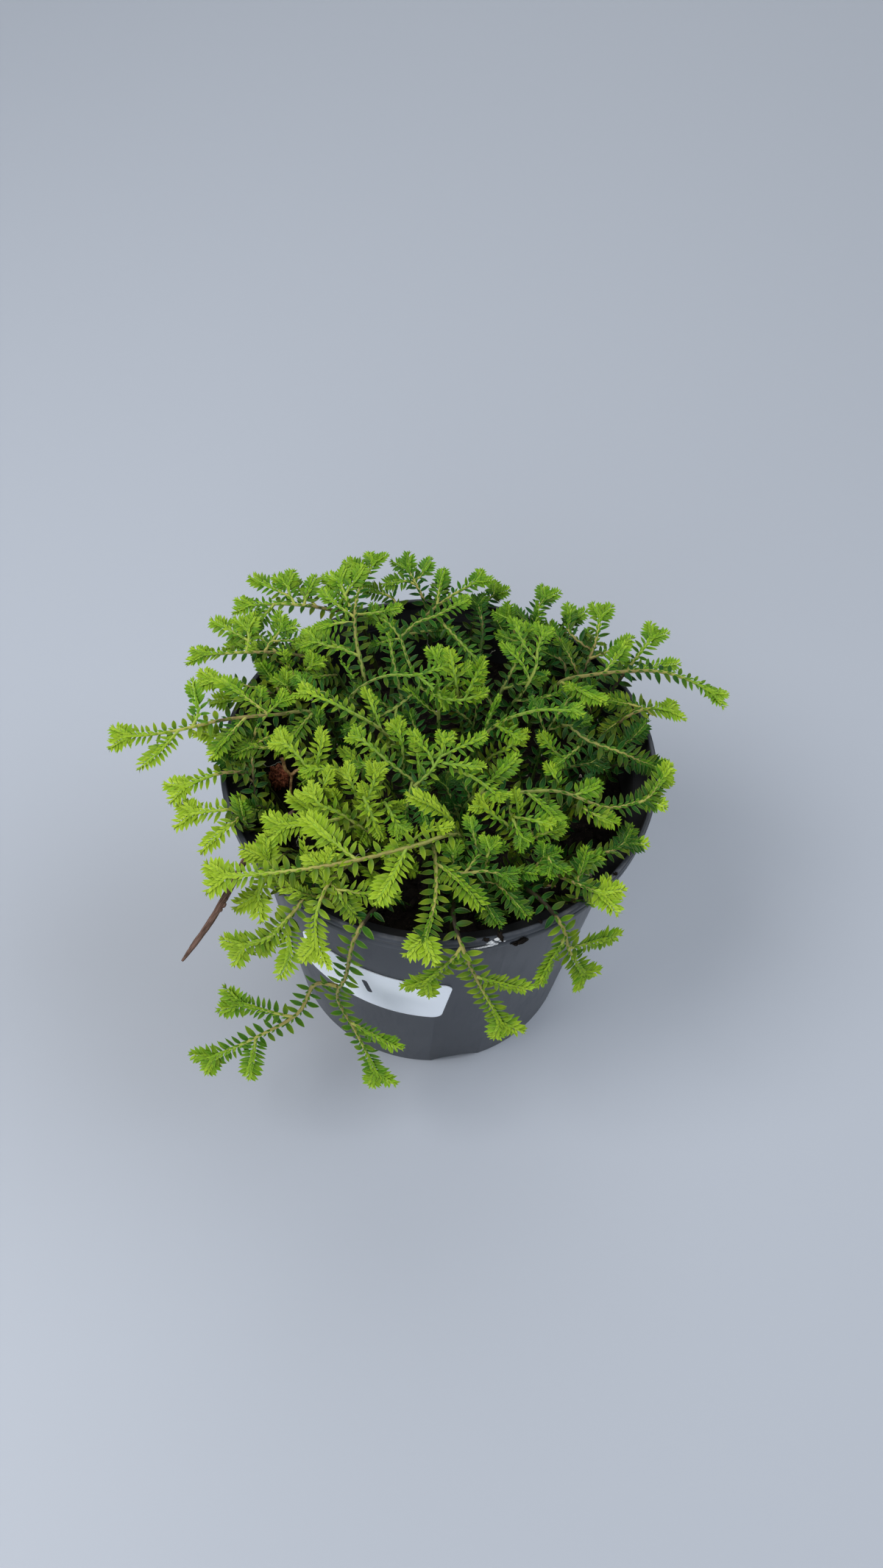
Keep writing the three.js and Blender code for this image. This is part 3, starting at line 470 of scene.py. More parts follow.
# The stroke is all that lies near the line between its two ends
label_x, label_y, _ = parts(add_node(where.tree, "UVMap", settings={"uv_map": "label_flat"}))
run = (STROKE_TO[0] - STROKE_FROM[0], STROKE_TO[1] - STROKE_FROM[1])
east = (label_x - 0.5) * LABEL_WIDTH - STROKE_FROM[0]
north = (label_y - 0.5) * LABEL_TALL - STROKE_FROM[1]
share = calc("DIVIDE", east * run[0] + north * run[1], run[0] ** 2 + run[1] ** 2)
share = add_node(where.tree, "Clamp", Value=share)
off_x, off_y = east - share * run[0], north - share * run[1]
ragged = calc("SQRT", off_x * off_x + off_y * off_y) + (fibres - 0.5) * 0.5
ink = between(ragged, STROKE_HALF - INK_EDGE, STROKE_HALF + INK_EDGE, 1.0, 0.0)
dress(white_paper, blend(ink, paper, (0.030, 0.036, 0.050)), between(fibres, 0.3, 0.7, 0.50, 0.62),
      fibres, 0.15, 0.0001)


def wall_radius(height):
    """Radius of the wall's outside at a height below the collar."""
    return FOOT_RADIUS + (BODY_TOP_RADIUS - FOOT_RADIUS) * height / COLLAR_FOOT


sticker = bmesh.new()
bmesh.ops.create_grid(sticker, x_segments=1, y_segments=1, size=0.5)
bmesh.ops.scale(sticker, vec=(LABEL_WIDTH, LABEL_TALL, 1), verts=sticker.verts)
bmesh.ops.bevel(sticker, geom=sticker.verts[:], offset=LABEL_CORNER, affect="VERTICES", segments=6,
                profile=0.5, material=-1)
for strips, span, along_x, along_y in LABEL_STRIPS:
    for strip in range(1, strips):
        place = span * (strip / strips - 0.5)
        bmesh.ops.bisect_plane(sticker, geom=sticker.verts[:] + sticker.edges[:] + sticker.faces[:],
                               plane_co=(place * along_x, place * along_y, 0), plane_no=(along_x, along_y, 0))
bmesh.ops.solidify(sticker, geom=sticker.faces[:], thickness=LABEL_THICK)
bmesh.ops.recalc_face_normals(sticker, faces=sticker.faces)
flat_map = sticker.loops.layers.uv.new("label_flat")
for face in sticker.faces:
    for corner in face.loops:
        corner[flat_map].uv = (corner.vert.co.x / LABEL_WIDTH + 0.5, corner.vert.co.y / LABEL_TALL + 0.5)
lowest = min(spot.co.z for spot in sticker.verts)
lean = radians(-LABEL_TILT)
for spot in sticker.verts:
    x, y = spot.co.x, spot.co.y
    height = LABEL_HEIGHT + x * sin(lean) + y * cos(lean)
    round_wall = x * cos(lean) - y * sin(lean)
    spot.co = at(LABEL_AZIMUTH + degrees(round_wall / wall_radius(LABEL_HEIGHT)),
                 wall_radius(height) + LABEL_LIFT + spot.co.z - lowest, height)
set_in_place("paper_label", sticker, 40, white_paper, "label_paper", "label")

# ==== The leafy stems ====
# Each creeping stem is a flat, forking spray: two rows of pointed side leaves, two rows of small
# scale-like leaves on top, and tight pale rosettes of young leaves at its tips.
ROOT_DEPTH = 6
BARE_STEM = 9
ROOT_RADIUS = 0.65
STEM_RADIUS = 0.58
TIP_RADIUS = 0.40
CAD_PITCH = 6.4
BRANCH_ANGLE = 48
FORK_ANGLE = 34
FORKED_BRANCH = 13
ARM_START = 9
ARM_BARE = 14
ARM_RADIUS = 0.6
LEAST_VIGOUR = 0.64
VIGOUR_OUTWARD = 0.024
OUTWARD_FROM = 40
VIGOUR_IN_FRONT = 0.14
BRANCH_SLIMMER = 0.8
STEM_RING = 2.5
FIRST_PAIR = 1.2
PAIR_LEAD = 1.4
SIDE_LEAF = 3.55
TOP_LEAF = 2.0
BUD_LEAF = 3.5
LEAF_TURN = 65
TIP_PITCH = 1.3
SLIM_END = 9
AGED_OVER = 18
OLDEST = 0.1
TIP_FRESHNESS = 0.76
BUD_FRESHNESS = 0.72
BUD_REACH = 5.4
BUD_ROWS = 6
CROWN_LEAVES = 5
LIGHT = Vector((-0.15, -0.55, 0.82))
LIGHT_TURN = 0.4
# Painted shade: leaves and stems are painted darker below the open air over the mat, in the listed gaps and
# towards the back
OPEN_AIR = 116
SHADE_DEPTH = 12
SHADED = 0.62
BACK_SHADE = 0.1
GAP_SHADE = 0.4
GAPS = [(46, -8, 14), (8.8, 37, 10), (-4, 33, 8)]
WEATHERED = 0.42
STRAW_FROM = 46
# The young mark holds freshness less painted shade, so the darkest tints below stand for painted shade as
# well as age
MARKS = ("young", "tone")
LEAF_AGE_AND_SHADE_TINTS = [(0.0, (0.002, 0.018, 0.002)), (0.30, (0.011, 0.054, 0.002)), (0.58, (0.083, 0.208, 0.006)),
             (0.80, (0.192, 0.362, 0.014)), (1.0, (0.385, 0.570, 0.045))]
STEM_AGE_AND_SHADE_TINTS = [(0.0, (0.020, 0.016, 0.007)), (0.20, (0.23, 0.19, 0.065)), (0.44, (0.37, 0.37, 0.085)),
             (0.70, (0.27, 0.42, 0.05)), (1.0, (0.36, 0.60, 0.06))]
# A row is the node's name, [(azimuth, radius) in the soil, then (azimuth, radius, height) of what
# the stem passes], [(share of its length, signed length) of each branch], and how yellow it is.
STEMS = [
    ("trail_front_left", [(-100, 41), (-102, 48, 103.5), (-105, 57, 108.5), (-107, 63, 104),
     (-109, 64, 86), (-112, 63.5, 70), (-107, 65, 57), (-101, 68.5, 42)], [(0.8, 9)], 0.3),
    ("trail_front_mid", [(-82, 40), (-83, 47, 103), (-84, 55, 107.5), (-82, 62, 104), (-79, 63.5, 93),
     (-76, 65, 83), (-73, 68, 74)], [(0.58, -16), (0.72, 9)], 0.55),
    ("trail_front_right", [(-64, 41), (-62, 48, 104), (-60, 56, 107.5), (-58, 62.5, 103.5), (-56, 64, 93),
     (-52, 66.5, 80)], [(0.66, -9), (0.8, 12)], 0.45),
    ("trail_left_low", [(-124, 40), (-123, 48, 103.5), (-122, 57, 107.5), (-123, 63, 103), (-126, 68, 95),
     (-130, 73, 91)], [(0.74, 8)], 0.55),
    ("spray_left_low", [(-139.5, 43), (-136.5, 51, 103.5), (-133.5, 59, 107), (-132, 65, 103.5)], [], 0.8),
    ("spray_front_bud", [(-112, 37), (-115, 45, 108), (-117, 54, 113), (-116.5, 62, 109), (-115, 66, 101)],
     [(0.42, 9)], 0.85),
    ("spray_left_1", [(-153, 42), (-153, 50, 104.5), (-154, 59, 108), (-158, 68, 105)], [(0.72, 9)], 0.85),
    ("spray_left_2", [(-166, 44), (-166, 50, 104), (-166, 59, 108), (-165, 69, 106)], [(0.6, -9)], 0.6),
    ("trail_far_left", [(163, 27), (170, 34, 110), (177, 46, 113), (180, 58, 113), (182, 69, 111),
     (183, 77, 110), (183, 84, 109)], [(0.44, 11), (0.55, -13), (0.65, 10), (0.84, 8)], 0.6),
    ("spray_left_3", [(162, 40), (163, 48, 106), (165, 58, 110), (166, 66, 110)], [(0.6, -10)], 0.7),
    ("spray_left_4", [(139, 31), (143, 40, 109), (149, 50, 112), (155, 61, 112), (159, 73, 109.5)],
     [(0.44, 10), (0.68, -12)], 0.65),
    ("spray_left_5", [(143, 45), (146, 52, 105.5), (149, 60, 108.2), (151, 67, 108)], [], 0.6),
    ("spray_back_1", [(116, 45), (121, 50, 109), (129, 56, 113), (137, 64, 114), (143, 72, 113)],
     [(0.52, -12), (0.74, -11)], 0.6),
    ("spray_back_2", [(153, 21), (142, 28, 112.5), (131, 39, 117.5), (121, 51, 119), (112, 61, 119.5)],
     [(0.52, 12), (0.76, 10)], 0.5),
    ("spray_back_3", [(95, 44), (97, 50, 107.5), (100, 57, 112.5), (102, 61, 115)], [(0.62, -8)], 0.4),
    ("spray_back_4", [(122, 30), (112, 36, 108), (100, 43, 112), (90, 49, 115), (82, 55, 116.5)],
     [(0.55, -9), (0.76, 9)], 0.45),
    ("spray_back_5", [(61.5, 43), (61.5, 49, 108), (62, 55, 111.5), (62, 60, 112.5)], [(0.6, 9)], 0.4),
    ("spray_back_6", [(82, 44), (81, 50, 104), (79, 56, 107), (77, 60, 108)], [], 0.45),
    ("spray_back_7", [(47.5, 43), (49.5, 49, 105), (51.5, 56, 108.5), (52.5, 60, 110)], [], 0.4),
    ("spray_right_1", [(33, 41), (36, 49, 107), (41, 57, 111.5), (46, 64, 113.5)], [(0.62, 9), (0.78, -8)],
     0.55),
    ("spray_right_2", [(20, 43), (24, 50, 104), (29, 58, 107.5), (33, 67, 109), (35, 73, 110)],
     [(0.76, -10)], 0.5),
    ("trail_right", [(38, 30), (33, 37, 111), (28, 46, 115), (25, 56, 115), (23, 66, 113.5), (20, 74, 111),
     (17, 79, 109)], [(0.44, -10), (0.62, 9)], 0.5),
    ("spray_right_3", [(12, 43), (13, 50, 106), (14.5, 58, 110), (15, 65, 107.5)], [], 0.7),
    ("spray_right_4", [(-2, 39), (-2, 47, 103.5), (-3, 56, 106.8), (-3, 62, 104.5)], [(0.6, 7)], 0.5),
    ("spray_right_5", [(-78, 15), (-62, 21, 109.5), (-44, 28, 113.5), (-31, 37, 114.5), (-26, 49, 112),
     (-18, 57, 111)], [(0.4, 9), (0.6, -8), (0.78, 3)], 0.5),
    ("spray_right_6", [(-41, 41), (-41, 48, 104), (-36, 55, 107.5), (-31, 57, 107.5)], [], 0.5),
    ("spray_right_7", [(-54, 42), (-52, 49, 104.5), (-49.5, 57, 108.3), (-47, 61.5, 107.8)], [(0.64, 8)],
     0.6),
    ("spray_front_1", [(-68, 29), (-80, 34, 113), (-96, 41, 118.5), (-111, 49, 118.5), (-123, 57, 116),
     (-132, 65, 113), (-136, 70, 112)], [(0.38, -11), (0.52, 9), (0.66, -12)], 0.75),
    ("spray_front_2", [(-96, 26), (-91, 34, 109), (-89, 43, 112), (-89, 52, 111), (-91, 60, 107)],
     [(0.5, -10), (0.66, 9)], 0.75),
    ("spray_front_3", [(-118, 25), (-125, 34, 110), (-132, 44, 114), (-138, 53, 115), (-143, 59, 113.5)],
     [(0.47, 4), (0.66, -6)], 0.85),
    ("spray_mid_1", [(95, 5), (95, 12, 110), (96, 22, 117), (98, 32, 119)], [(0.5, 9), (0.66, -9)], 0.4),
    ("spray_mid_2", [(10, 6), (8, 13, 112), (5, 24, 121), (3, 34, 122.5)], [(0.5, 9), (0.68, -9)], 0.35),
    ("spray_mid_3", [(-85, 5), (-80, 12, 110), (-66, 20, 118), (-60, 30, 121)], [(0.55, -9)], 0.4),
    ("spray_mid_4", [(185, 6), (183, 14, 110), (178, 25, 118.5), (172, 36, 120)], [(0.5, 9), (0.68, -9)],
     0.75),
    ("spray_mid_5", [(-140, 13), (-142, 20, 108), (-150, 30, 113), (-157, 42, 114.5)], [(0.5, 6),
     (0.68, -6)], 0.8),
    ("spray_mid_6", [(45, 15), (47, 22, 108), (52, 32, 113.5), (58, 43, 115)], [(0.52, 10), (0.68, -9)],
     0.4),
    ("spray_mid_7", [(72, 26), (73, 33, 105), (76, 43, 110), (80, 51, 111)], [(0.55, 9)], 0.4),
    ("spray_mid_8", [(-12, 25), (-10, 32, 104.5), (-6, 41, 108), (-5, 48, 108.8)], [(0.55, 4)], 0.35),
    ("spray_mid_9", [(-173, 27), (-171.5, 34, 105), (-172, 43, 109), (-173.5, 51, 109)], [(0.55, 9)], 0.7),
    ("spray_mid_10", [(-48, 24), (-48, 31, 105), (-50, 41, 110), (-53, 49, 111)], [(0.54, 9)], 0.4),
    ("spray_mid_11", [(-74, 44), (-73.5, 47, 97), (-73, 51, 101)], [], 0.5),
    ("spray_mid_12", [(150, 10), (133, 16, 108), (122, 27, 113.5), (116, 38, 115)], [(0.55, 9)], 0.45),
]
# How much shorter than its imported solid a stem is, where it would close a gap in the mat
CUT_BACK = {"spray_front_3": 10, "spray_mid_1": 9, "spray_mid_5": 6, "spray_mid_8": 7, "spray_right_4": 3}
FRONT_LEFT_ROLL = -45
FRONT_LEFT_ARM = {"from": 0.64, "side": -1, "route": [(-120.5, 69, 60), (-126, 79, 53), (-131, 89, 46)],
                  "branches": [(0.46, -15), (0.76, 8)]}


def held(value, low=0.0, high=1.0):
    """A number kept inside a range."""
    return min(high, max(low, value))


def coloured_by_age_and_shade(young, mottle, spread, ages):
    """The colour that tissue has at its age less its painted shade, which its mottling shifts a little."""
    aged = young + (mottle - 0.5) * spread
    colour = add_node(young.tree, "ValToRGB", Fac=aged)
    stops = colour.socket.node.color_ramp.elements
    for stop, (position, tint) in zip((stops[0], stops[1]), (ages[0], ages[-1])):
        stop.position, stop.color = position, (*tint, 1)
    for position, tint in ages[1:-1]:
        stops.new(position).color = (*tint, 1)
    return colour


# Leaves: green tissue that is darker with age and with painted shade low in the mat, with a pale margin, a
# crease along the middle and a painted shade at the foot of each leaf
leaf_green, where = new_finish("leaf_green", 0.09)
young, tone = [add_node(where.tree, "Attribute", "Fac", {"attribute_name": mark}) for mark in MARKS]
aside, along, _ = parts(add_node(where.tree, "UVMap", settings={"uv_map": "leaf"}))
from_midrib = calc("ABSOLUTE", aside - 0.5)
mottle = cloud(where, 900, 3, 0.6)
tissue = coloured_by_age_and_shade(young, mottle, 0.16, LEAF_AGE_AND_SHADE_TINTS)
warmer = blend(between(tone, 0.45, 1.0, 0.0, 0.42), tissue, (0.33, 0.42, 0.016))
cooler = blend(between(tone, 0.5, 0.0, 0.0, 0.40), warmer, (0.014, 0.13, 0.026))
margin = between(from_midrib, 0.33, 0.48) * between(young, 0.0, 0.5, 0.12, 0.24)
crease = between(from_midrib, 0.02, 0.10, 1.0, 0.0)
creased = blend(crease * 0.22, blend(margin, cooler, (0.50, 0.66, 0.14)), (0.05, 0.16, 0.02))
# Painted shade at each leaf's foot, where the leaves overlap, strongest on the darker, older and shaded
# leaves
painted_shade_at_foot = between(along, 0.0, 0.7, 1.0, 0.0) * between(young, 0.4, 0.95, 0.72, 0.15)
dress(leaf_green, blend(painted_shade_at_foot, creased, (0.018, 0.085, 0.008)), between(mottle, 0.3, 0.7, 0.30, 0.44),
      cloud(where, 5200, 2) * 0.5 - crease, 0.35, 0.00008)

# Stems: fresh green near the tips, straw and olive where they are old, and painted darker brown by painted
# shade low in the mat
stem_skin, where = new_finish("stem_skin", 0.16)
young = add_node(where.tree, "Attribute", "Fac", {"attribute_name": "young"})
blotch = cloud(where, 700, 4, 0.6)
in_middle = between(off_axis(where), 0.055, 0.025) * 0.5
dress(stem_skin, blend(in_middle, coloured_by_age_and_shade(young, blotch, 0.4, STEM_AGE_AND_SHADE_TINTS), (0.10, 0.21, 0.03)),
      between(blotch, 0.3, 0.7, 0.48, 0.66), blotch, 0.5, 0.00015)


def leaf_pattern(name, cuts, half_width, widest, fold, droop):
    """A leaf one unit long from its foot at the origin to its point at +X, folded along its midrib."""
    leaf = bmesh.new()
    bmesh.ops.create_cone(leaf, cap_ends=True, segments=4, radius1=1, radius2=1, depth=1,
                          matrix=Matrix.Rotation(radians(90), 4, "Y") @ Matrix.Translation((0, 0, 0.5)))
    lengthwise = [edge for edge in leaf.edges if abs(edge.verts[0].co.x - edge.verts[1].co.x) > 0.5]
    bmesh.ops.subdivide_edges(leaf, edges=lengthwise, cuts=cuts)
    flat = leaf.loops.layers.uv.new("leaf")
    for face in leaf.faces:
        for corner in face.loops:
            corner[flat].uv = (corner.vert.co.y / 2 + 0.5, corner.vert.co.x)
    for spot in leaf.verts:
        share, aside, above = spot.co
        if share < widest:
            width = 0.34 + 0.66 * sin(share / widest * pi / 2)
        else:
            width = 0.05 + 0.95 * cos((share - widest) / (1 - widest) * pi / 2) ** 0.85
        rise = fold * half_width * width * abs(aside) - droop * share ** 2
        spot.co = (share, aside * half_width * width, above * 0.018 * (1 - 0.6 * share) + rise)
    mesh = as_mesh(leaf, name)
    for mark in MARKS:
        mesh.attributes.new(mark, "FLOAT", "POINT")
    return mesh


SIDE_LEAVES = [leaf_pattern("side_leaf_flat", 4, 0.195, 0.40, 0.34, 0.05),
               leaf_pattern("side_leaf_bent", 4, 0.205, 0.42, 0.46, 0.15),
               leaf_pattern("side_leaf_lifted", 4, 0.19, 0.38, 0.40, -0.08)]
SLIM_LEAVES = [leaf_pattern("slim_leaf_flat", 3, 0.155, 0.38, 0.40, 0.04),
               leaf_pattern("slim_leaf_bent", 3, 0.165, 0.40, 0.50, 0.14),
               leaf_pattern("slim_leaf_lifted", 3, 0.150, 0.36, 0.44, -0.06)]
BUD_LEAVES = [leaf_pattern("bud_leaf_flat", 2, 0.18, 0.38, 0.40, 0.04),
              leaf_pattern("bud_leaf_cupped", 2, 0.195, 0.40, 0.55, 0.18)]
TOP_LEAVES = [leaf_pattern("top_leaf", 1, 0.20, 0.36, 0.34, 0.10)]


class StemLine:
    """The line that a stem follows through the air, with the frame that its flat spray lies along."""

    def __init__(self, passed, first_left, roll=0.0):
        ends = [2 * passed[0] - passed[1], *passed, 2 * passed[-1] - passed[-2]]
        self.points = [passed[0]]
        for before, start, end, after in zip(ends, ends[1:], ends[2:], ends[3:]):
            bend_out, bend_in = start + (end - before) / 6, end - (after - start) / 6
            self.points += interpolate_bezier(start, bend_out, bend_in, end, 25)[1:]
        self.marks, self.tangents, self.lefts = [0.0], [], []
        left = first_left.copy()
        last = len(self.points) - 1
        for i, point in enumerate(self.points):
            tangent = (self.points[min(i + 1, last)] - self.points[max(i - 1, 0)]).normalized()
            left = (left - tangent * left.dot(tangent)).normalized()
            self.tangents.append(tangent)
            self.lefts.append(Matrix.Rotation(radians(roll) * i / last, 3, tangent) @ left)
            if i:
                self.marks.append(self.marks[-1] + (point - self.points[i - 1]).length)
        self.length = self.marks[-1]

    def frame(self, along):
        """Point, tangent and left at a distance; beyond its end the line runs straight on."""
        i = 1
        while i < len(self.marks) - 1 and self.marks[i] < along:
            i += 1
        stretch = self.marks[i] - self.marks[i - 1]
        share = (along - self.marks[i - 1]) / stretch
        inside = min(1.0, share)
        tangent = self.tangents[i - 1].lerp(self.tangents[i], inside).normalized()
        side = self.lefts[i - 1].lerp(self.lefts[i], inside).normalized()
        point = self.points[i - 1].lerp(self.points[i], inside)
        return point + tangent * (share - inside) * stretch, tangent, side

    def seat(self, place, heading=0.0):
        """The frame of a place in the spray's flat layout: X ahead, Y to the left, Z above."""
        along, left = place
        point, tangent, side = self.frame(along)
        above = tangent.cross(side)
        ahead = tangent * cos(heading) + side * sin(heading)
        placed = Matrix((ahead, above.cross(ahead), above)).transposed().to_4x4()
        placed.translation = point + side * left
        return placed

    def seats(self, distances):
        """The frames of places along the line itself."""
        return [self.seat((distance, 0)) for distance in distances]


def onward(place, heading, distance):
    """The place in a spray's flat layout at a distance from another."""
    return place[0] + distance * cos(heading), place[1] + distance * sin(heading)


def tube(shape, frames, radii, sides):
    """A round rod through a row of frames; gives back its rings of points."""
    turn = Matrix.Rotation(radians(90), 4, "Y")
    seats = [frame @ turn @ Matrix.Scale(radius, 4) for frame, radius in zip(frames, radii)]
    first = bmesh.ops.create_circle(shape, cap_ends=True, segments=sides, radius=1, matrix=seats[0])
    rings = [first["verts"]]
    rim = rings[0][0].link_edges[0].link_faces[0].edges[:]
    for before, after in zip(seats, seats[1:]):
        grown = bmesh.ops.extrude_edge_only(shape, edges=rim)["geom"]
        rim = [item for item in grown if isinstance(item, bmesh.types.BMEdge)]
        rings.append([item for item in grown if isinstance(item, bmesh.types.BMVert)])
        bmesh.ops.transform(shape, matrix=after @ before.inverted(), verts=rings[-1])
    bmesh.ops.edgeloop_fill(shape, edges=rim)
    return rings


def shade(place):
    """Painted shade: how much darker leaves and stems are painted low in the mat, in its gaps and at its
    back, taken from their freshness.
    """
    at_back = BACK_SHADE * held(place.y / RIM_RADIUS)
    if hypot(place.x, place.y) > RIM_RADIUS:
        return at_back
    into_gap = max(max(0.0, 1 - hypot(place.x - x, place.y - y) / radius) for x, y, radius in GAPS)
    in_gap = GAP_SHADE * into_gap * held(OPEN_AIR - 2 - place.z)
    return SHADED * held((OPEN_AIR - place.z) / SHADE_DEPTH) + in_gap + at_back


class Spray:
    """One leafy stem with its branches, built as one shape of leaves and one of stems."""

    def __init__(self, seed, tone, tip):
        self.leaves, self.wood = bmesh.new(), bmesh.new()
        for shape in (self.leaves, self.wood):
            for mark in MARKS:
                shape.verts.layers.float.new(mark)
        self.leaves.loops.layers.uv.new("leaf")
        self.seed, self.tone, self.count = seed, tone, 0
        # Shoots that reach the open air round the pot are the stoutest, most of all in front
        azimuth, radius, _ = tip
        self.vigour = min(LEAST_VIGOUR + VIGOUR_OUTWARD * max(0, radius - OUTWARD_FROM),
                          1.0 - VIGOUR_IN_FRONT * sin(radians(azimuth)))
        self.dense = max(0, 16 * (self.vigour - 0.78))
        self.fresh = 0.30 * tone - 0.27 + self.chance(-0.05, 0.05)

    def chance(self, low, high):
        self.count += 1
        return low + (high - low) * draw(self.count, self.seed)

    def tube(self, frames, radii, ages, sides=6):
        """A stem through a row of frames, with the age of each of its rings: painted shade darkens it
        to straw and brown low in the mat, and the middle of the mat keeps it green."""
        age = self.wood.verts.layers.float["young"]
        for ring, value in zip(tube(self.wood, frames, radii, sides), ages):
            for spot in ring:
                to_middle = max(0.0, 1 - hypot(spot.co.x, spot.co.y) / STRAW_FROM)
                spot[age] = 0.2 + 0.8 * value - 0.9 * shade(spot.co) + 0.22 * to_middle

    def bare_foot(self, line, steps, radius):
        """The leafless foot of a stem, in the soil and just over it."""
        self.tube(line.seats(steps), [radius] * len(steps), [OLDEST] * len(steps))

    def leaf(self, patterns, foot, turn, lift, twist, length, young):
        """One leaf, turned from the stem ahead of it, lifted and twisted."""
        pattern = patterns[self.count % len(patterns)]
        placed = foot @ Matrix.Rotation(radians(turn), 4, "Z") @ Matrix.Rotation(radians(-lift), 4, "Y")
        to_light = atan2(-LIGHT.dot(placed.col[1].to_3d()), LIGHT.dot(placed.col[2].to_3d()))
        facing = LIGHT_TURN * held(to_light, -1.0) + radians(twist)
        placed = placed @ Matrix.Rotation(facing, 4, "X") @ Matrix.Scale(length, 4)
        tone = self.tone + self.chance(-0.22, 0.22)
        # Painted shade: the leaf is painted darker where shade falls in the mat
        shaded = shade(placed.translation)
        if shaded == 0:
            young, tone = max(young, WEATHERED), tone + 0.25
        lay(self.leaves, pattern, placed, young=young - shaded, tone=held(tone))

    def bud(self, line, start, heading, size=1.0):
        """A rosette of young leaves, crowded towards its tip."""
        size *= self.vigour
        reach = BUD_REACH * size * self.chance(0.9, 1.04)
        frames = [line.seat(onward(start, heading, d), heading) for d in (0, reach * 0.5, reach)]
        self.tube(frames, [0.42, 0.34, 0.16], [0.85, 1, 1], 5)
        for row in range(BUD_ROWS):
            share = row / BUD_ROWS
            foot = line.seat(onward(start, heading, reach * share ** 0.9), heading)
            young = BUD_FRESHNESS + self.fresh + 0.26 * share ** 0.8
            long = size * (BUD_LEAF - 1.4 * share ** 1.8)
            for side in (1, -1):
                fresh = min(1, young + self.chance(-0.05, 0.05))
                here = foot @ Matrix.Translation((0.3 * side, 0.22 * side, 0))
                self.leaf(BUD_LEAVES, here, side * (72 - 27 * share + self.chance(-7, 7)),
                          2 + 16 * share + self.chance(-9, 9), side * self.chance(-20, 8),
                          long * self.chance(0.9, 1.06), fresh)
                above = foot @ Matrix.Translation((0.5 * side, 0.15 * side, 0.3))
                self.leaf(TOP_LEAVES, above, side * (28 + self.chance(-9, 9)),
                          16 + 12 * share + self.chance(-7, 7), side * self.chance(-14, 14),
                          size * self.chance(1.3, 1.9), min(1, fresh + 0.12))
        for turn in range(CROWN_LEAVES):
            around = radians(360 / CROWN_LEAVES * turn + self.chance(-12, 12))
            crown = frames[-1] @ Matrix.Rotation(around, 4, "X")
            self.leaf(TOP_LEAVES, crown, 0, self.chance(16, 36), 180, size * self.chance(1.5, 1.9),
                      1 + self.fresh)

    def grow(self, line, start, heading, length, thick, branches, forked):
        """One leafy axis; branches holds [distance, signed length or arm] of each."""

        def here(distance):
            return line.seat(onward(start, heading, distance), heading)

        def young_at(distance):
            return max(0.08, TIP_FRESHNESS + self.fresh - (length - distance) / 40)

        rings = max(2, round(length / STEM_RING))
        steps = [length * i / rings for i in range(rings + 1)]
        widths = [thick + (TIP_RADIUS - thick) * (d / length) ** 2 for d in steps]
        self.tube([here(d) for d in steps], widths, [young_at(d) for d in steps])
        taken = []
        for distance, grown in branches:
            side = grown["side"] if isinstance(grown, dict) else copysign(1, grown)
            taken.append((distance, side))
            turn = heading + side * radians(BRANCH_ANGLE)
            foot = onward(start, heading, distance)
            if isinstance(grown, dict):
                self.arm(line, foot, turn, grown)
            else:
                self.grow(line, foot, turn, abs(grown), thick * BRANCH_SLIMMER, [],
                          abs(grown) > FORKED_BRANCH)
        distance = FIRST_PAIR
        full = 0.64 + 0.30 * self.vigour
        while distance < length - 0.4:
            to_tip = length - distance
            old = min(1, to_tip / AGED_OVER)
            patterns = SIDE_LEAVES if to_tip > SLIM_END else SLIM_LEAVES
            pitch = TIP_PITCH + 1.5 * held((to_tip - self.dense) / 8) + 1.6 * held((to_tip - 22) / 25)
            for side in (1, -1):
                spot = distance + (0.42 * pitch if side < 0 else 0)
                if any(side == s and -1.2 < spot - d < 2.2 for d, s in taken) or spot > length:
                    continue
                young = young_at(spot) + self.chance(-0.06, 0.06)
                foot = here(spot) @ Matrix.Translation((0, 0.3 * side, 0))
                self.leaf(patterns, foot, side * (LEAF_TURN + 15 * old + self.chance(-7, 7)),
                          4 - 6 * old + self.chance(-9, 9), side * self.chance(-14, 10),
                          full * (SIDE_LEAF + 0.65 * old) * self.chance(0.86, 1.06), young)
                scale = foot @ Matrix.Translation((0.5, -0.12 * side, 0.35))
                self.leaf(TOP_LEAVES, scale, side * (20 + self.chance(-9, 9)), 9 + self.chance(-5, 8),
                          side * self.chance(-8, 8), (TOP_LEAF - 0.25 * old) * self.chance(0.85, 1.1),
                          min(1, young + 0.2 + 0.12 * old))
            distance += pitch * self.chance(0.92, 1.08)
        for turn in ((FORK_ANGLE, -FORK_ANGLE) if forked else (0,)):
            self.bud(line, onward(start, heading, length), heading + radians(turn))

    def arm(self, line, foot, heading, grown):
        """A long branch that starts in the spray's plane and then follows a line of its own."""
        seats = [line.seat(foot, heading), line.seat(onward(foot, heading, ARM_START), heading)]
        passed = [seat.translation for seat in seats] + [at(*point) for point in grown["route"]]
        own = StemLine(passed, seats[1].col[1].to_3d())
        turns = [(snapped(share, own, ARM_BARE) + ARM_BARE - 1, size) for share, size in grown["branches"]]
        self.grow(own, (1, 0), 0, own.length - 1, ARM_RADIUS, turns, True)

    def set_in_place(self, name, *stands_for):
        """Puts leaves and stems into the scene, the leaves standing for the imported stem."""
        set_in_place(name, self.leaves, 50, leaf_green, "foliage", *stands_for)
        set_in_place(name + "_stem", self.wood, 50, stem_skin, "foliage")


def rooted(route):
    """The places that a stem passes, from the bottom of its hole in the soil."""
    foot, *passed = [on_mix(*route[0])] + [at(*point) for point in route[1:]]
    return [foot - (passed[0] - foot).normalized() * ROOT_DEPTH, foot, *passed]


def snapped(share, line, first):
    """Where a branch leaves its stem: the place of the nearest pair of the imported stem's leaves."""
    leafy = line.length - first
    pitch = leafy / max(1, floor(leafy / CAD_PITCH + 0.5))
    return floor((share * line.length - first) / pitch + 0.5) * pitch - PAIR_LEAD


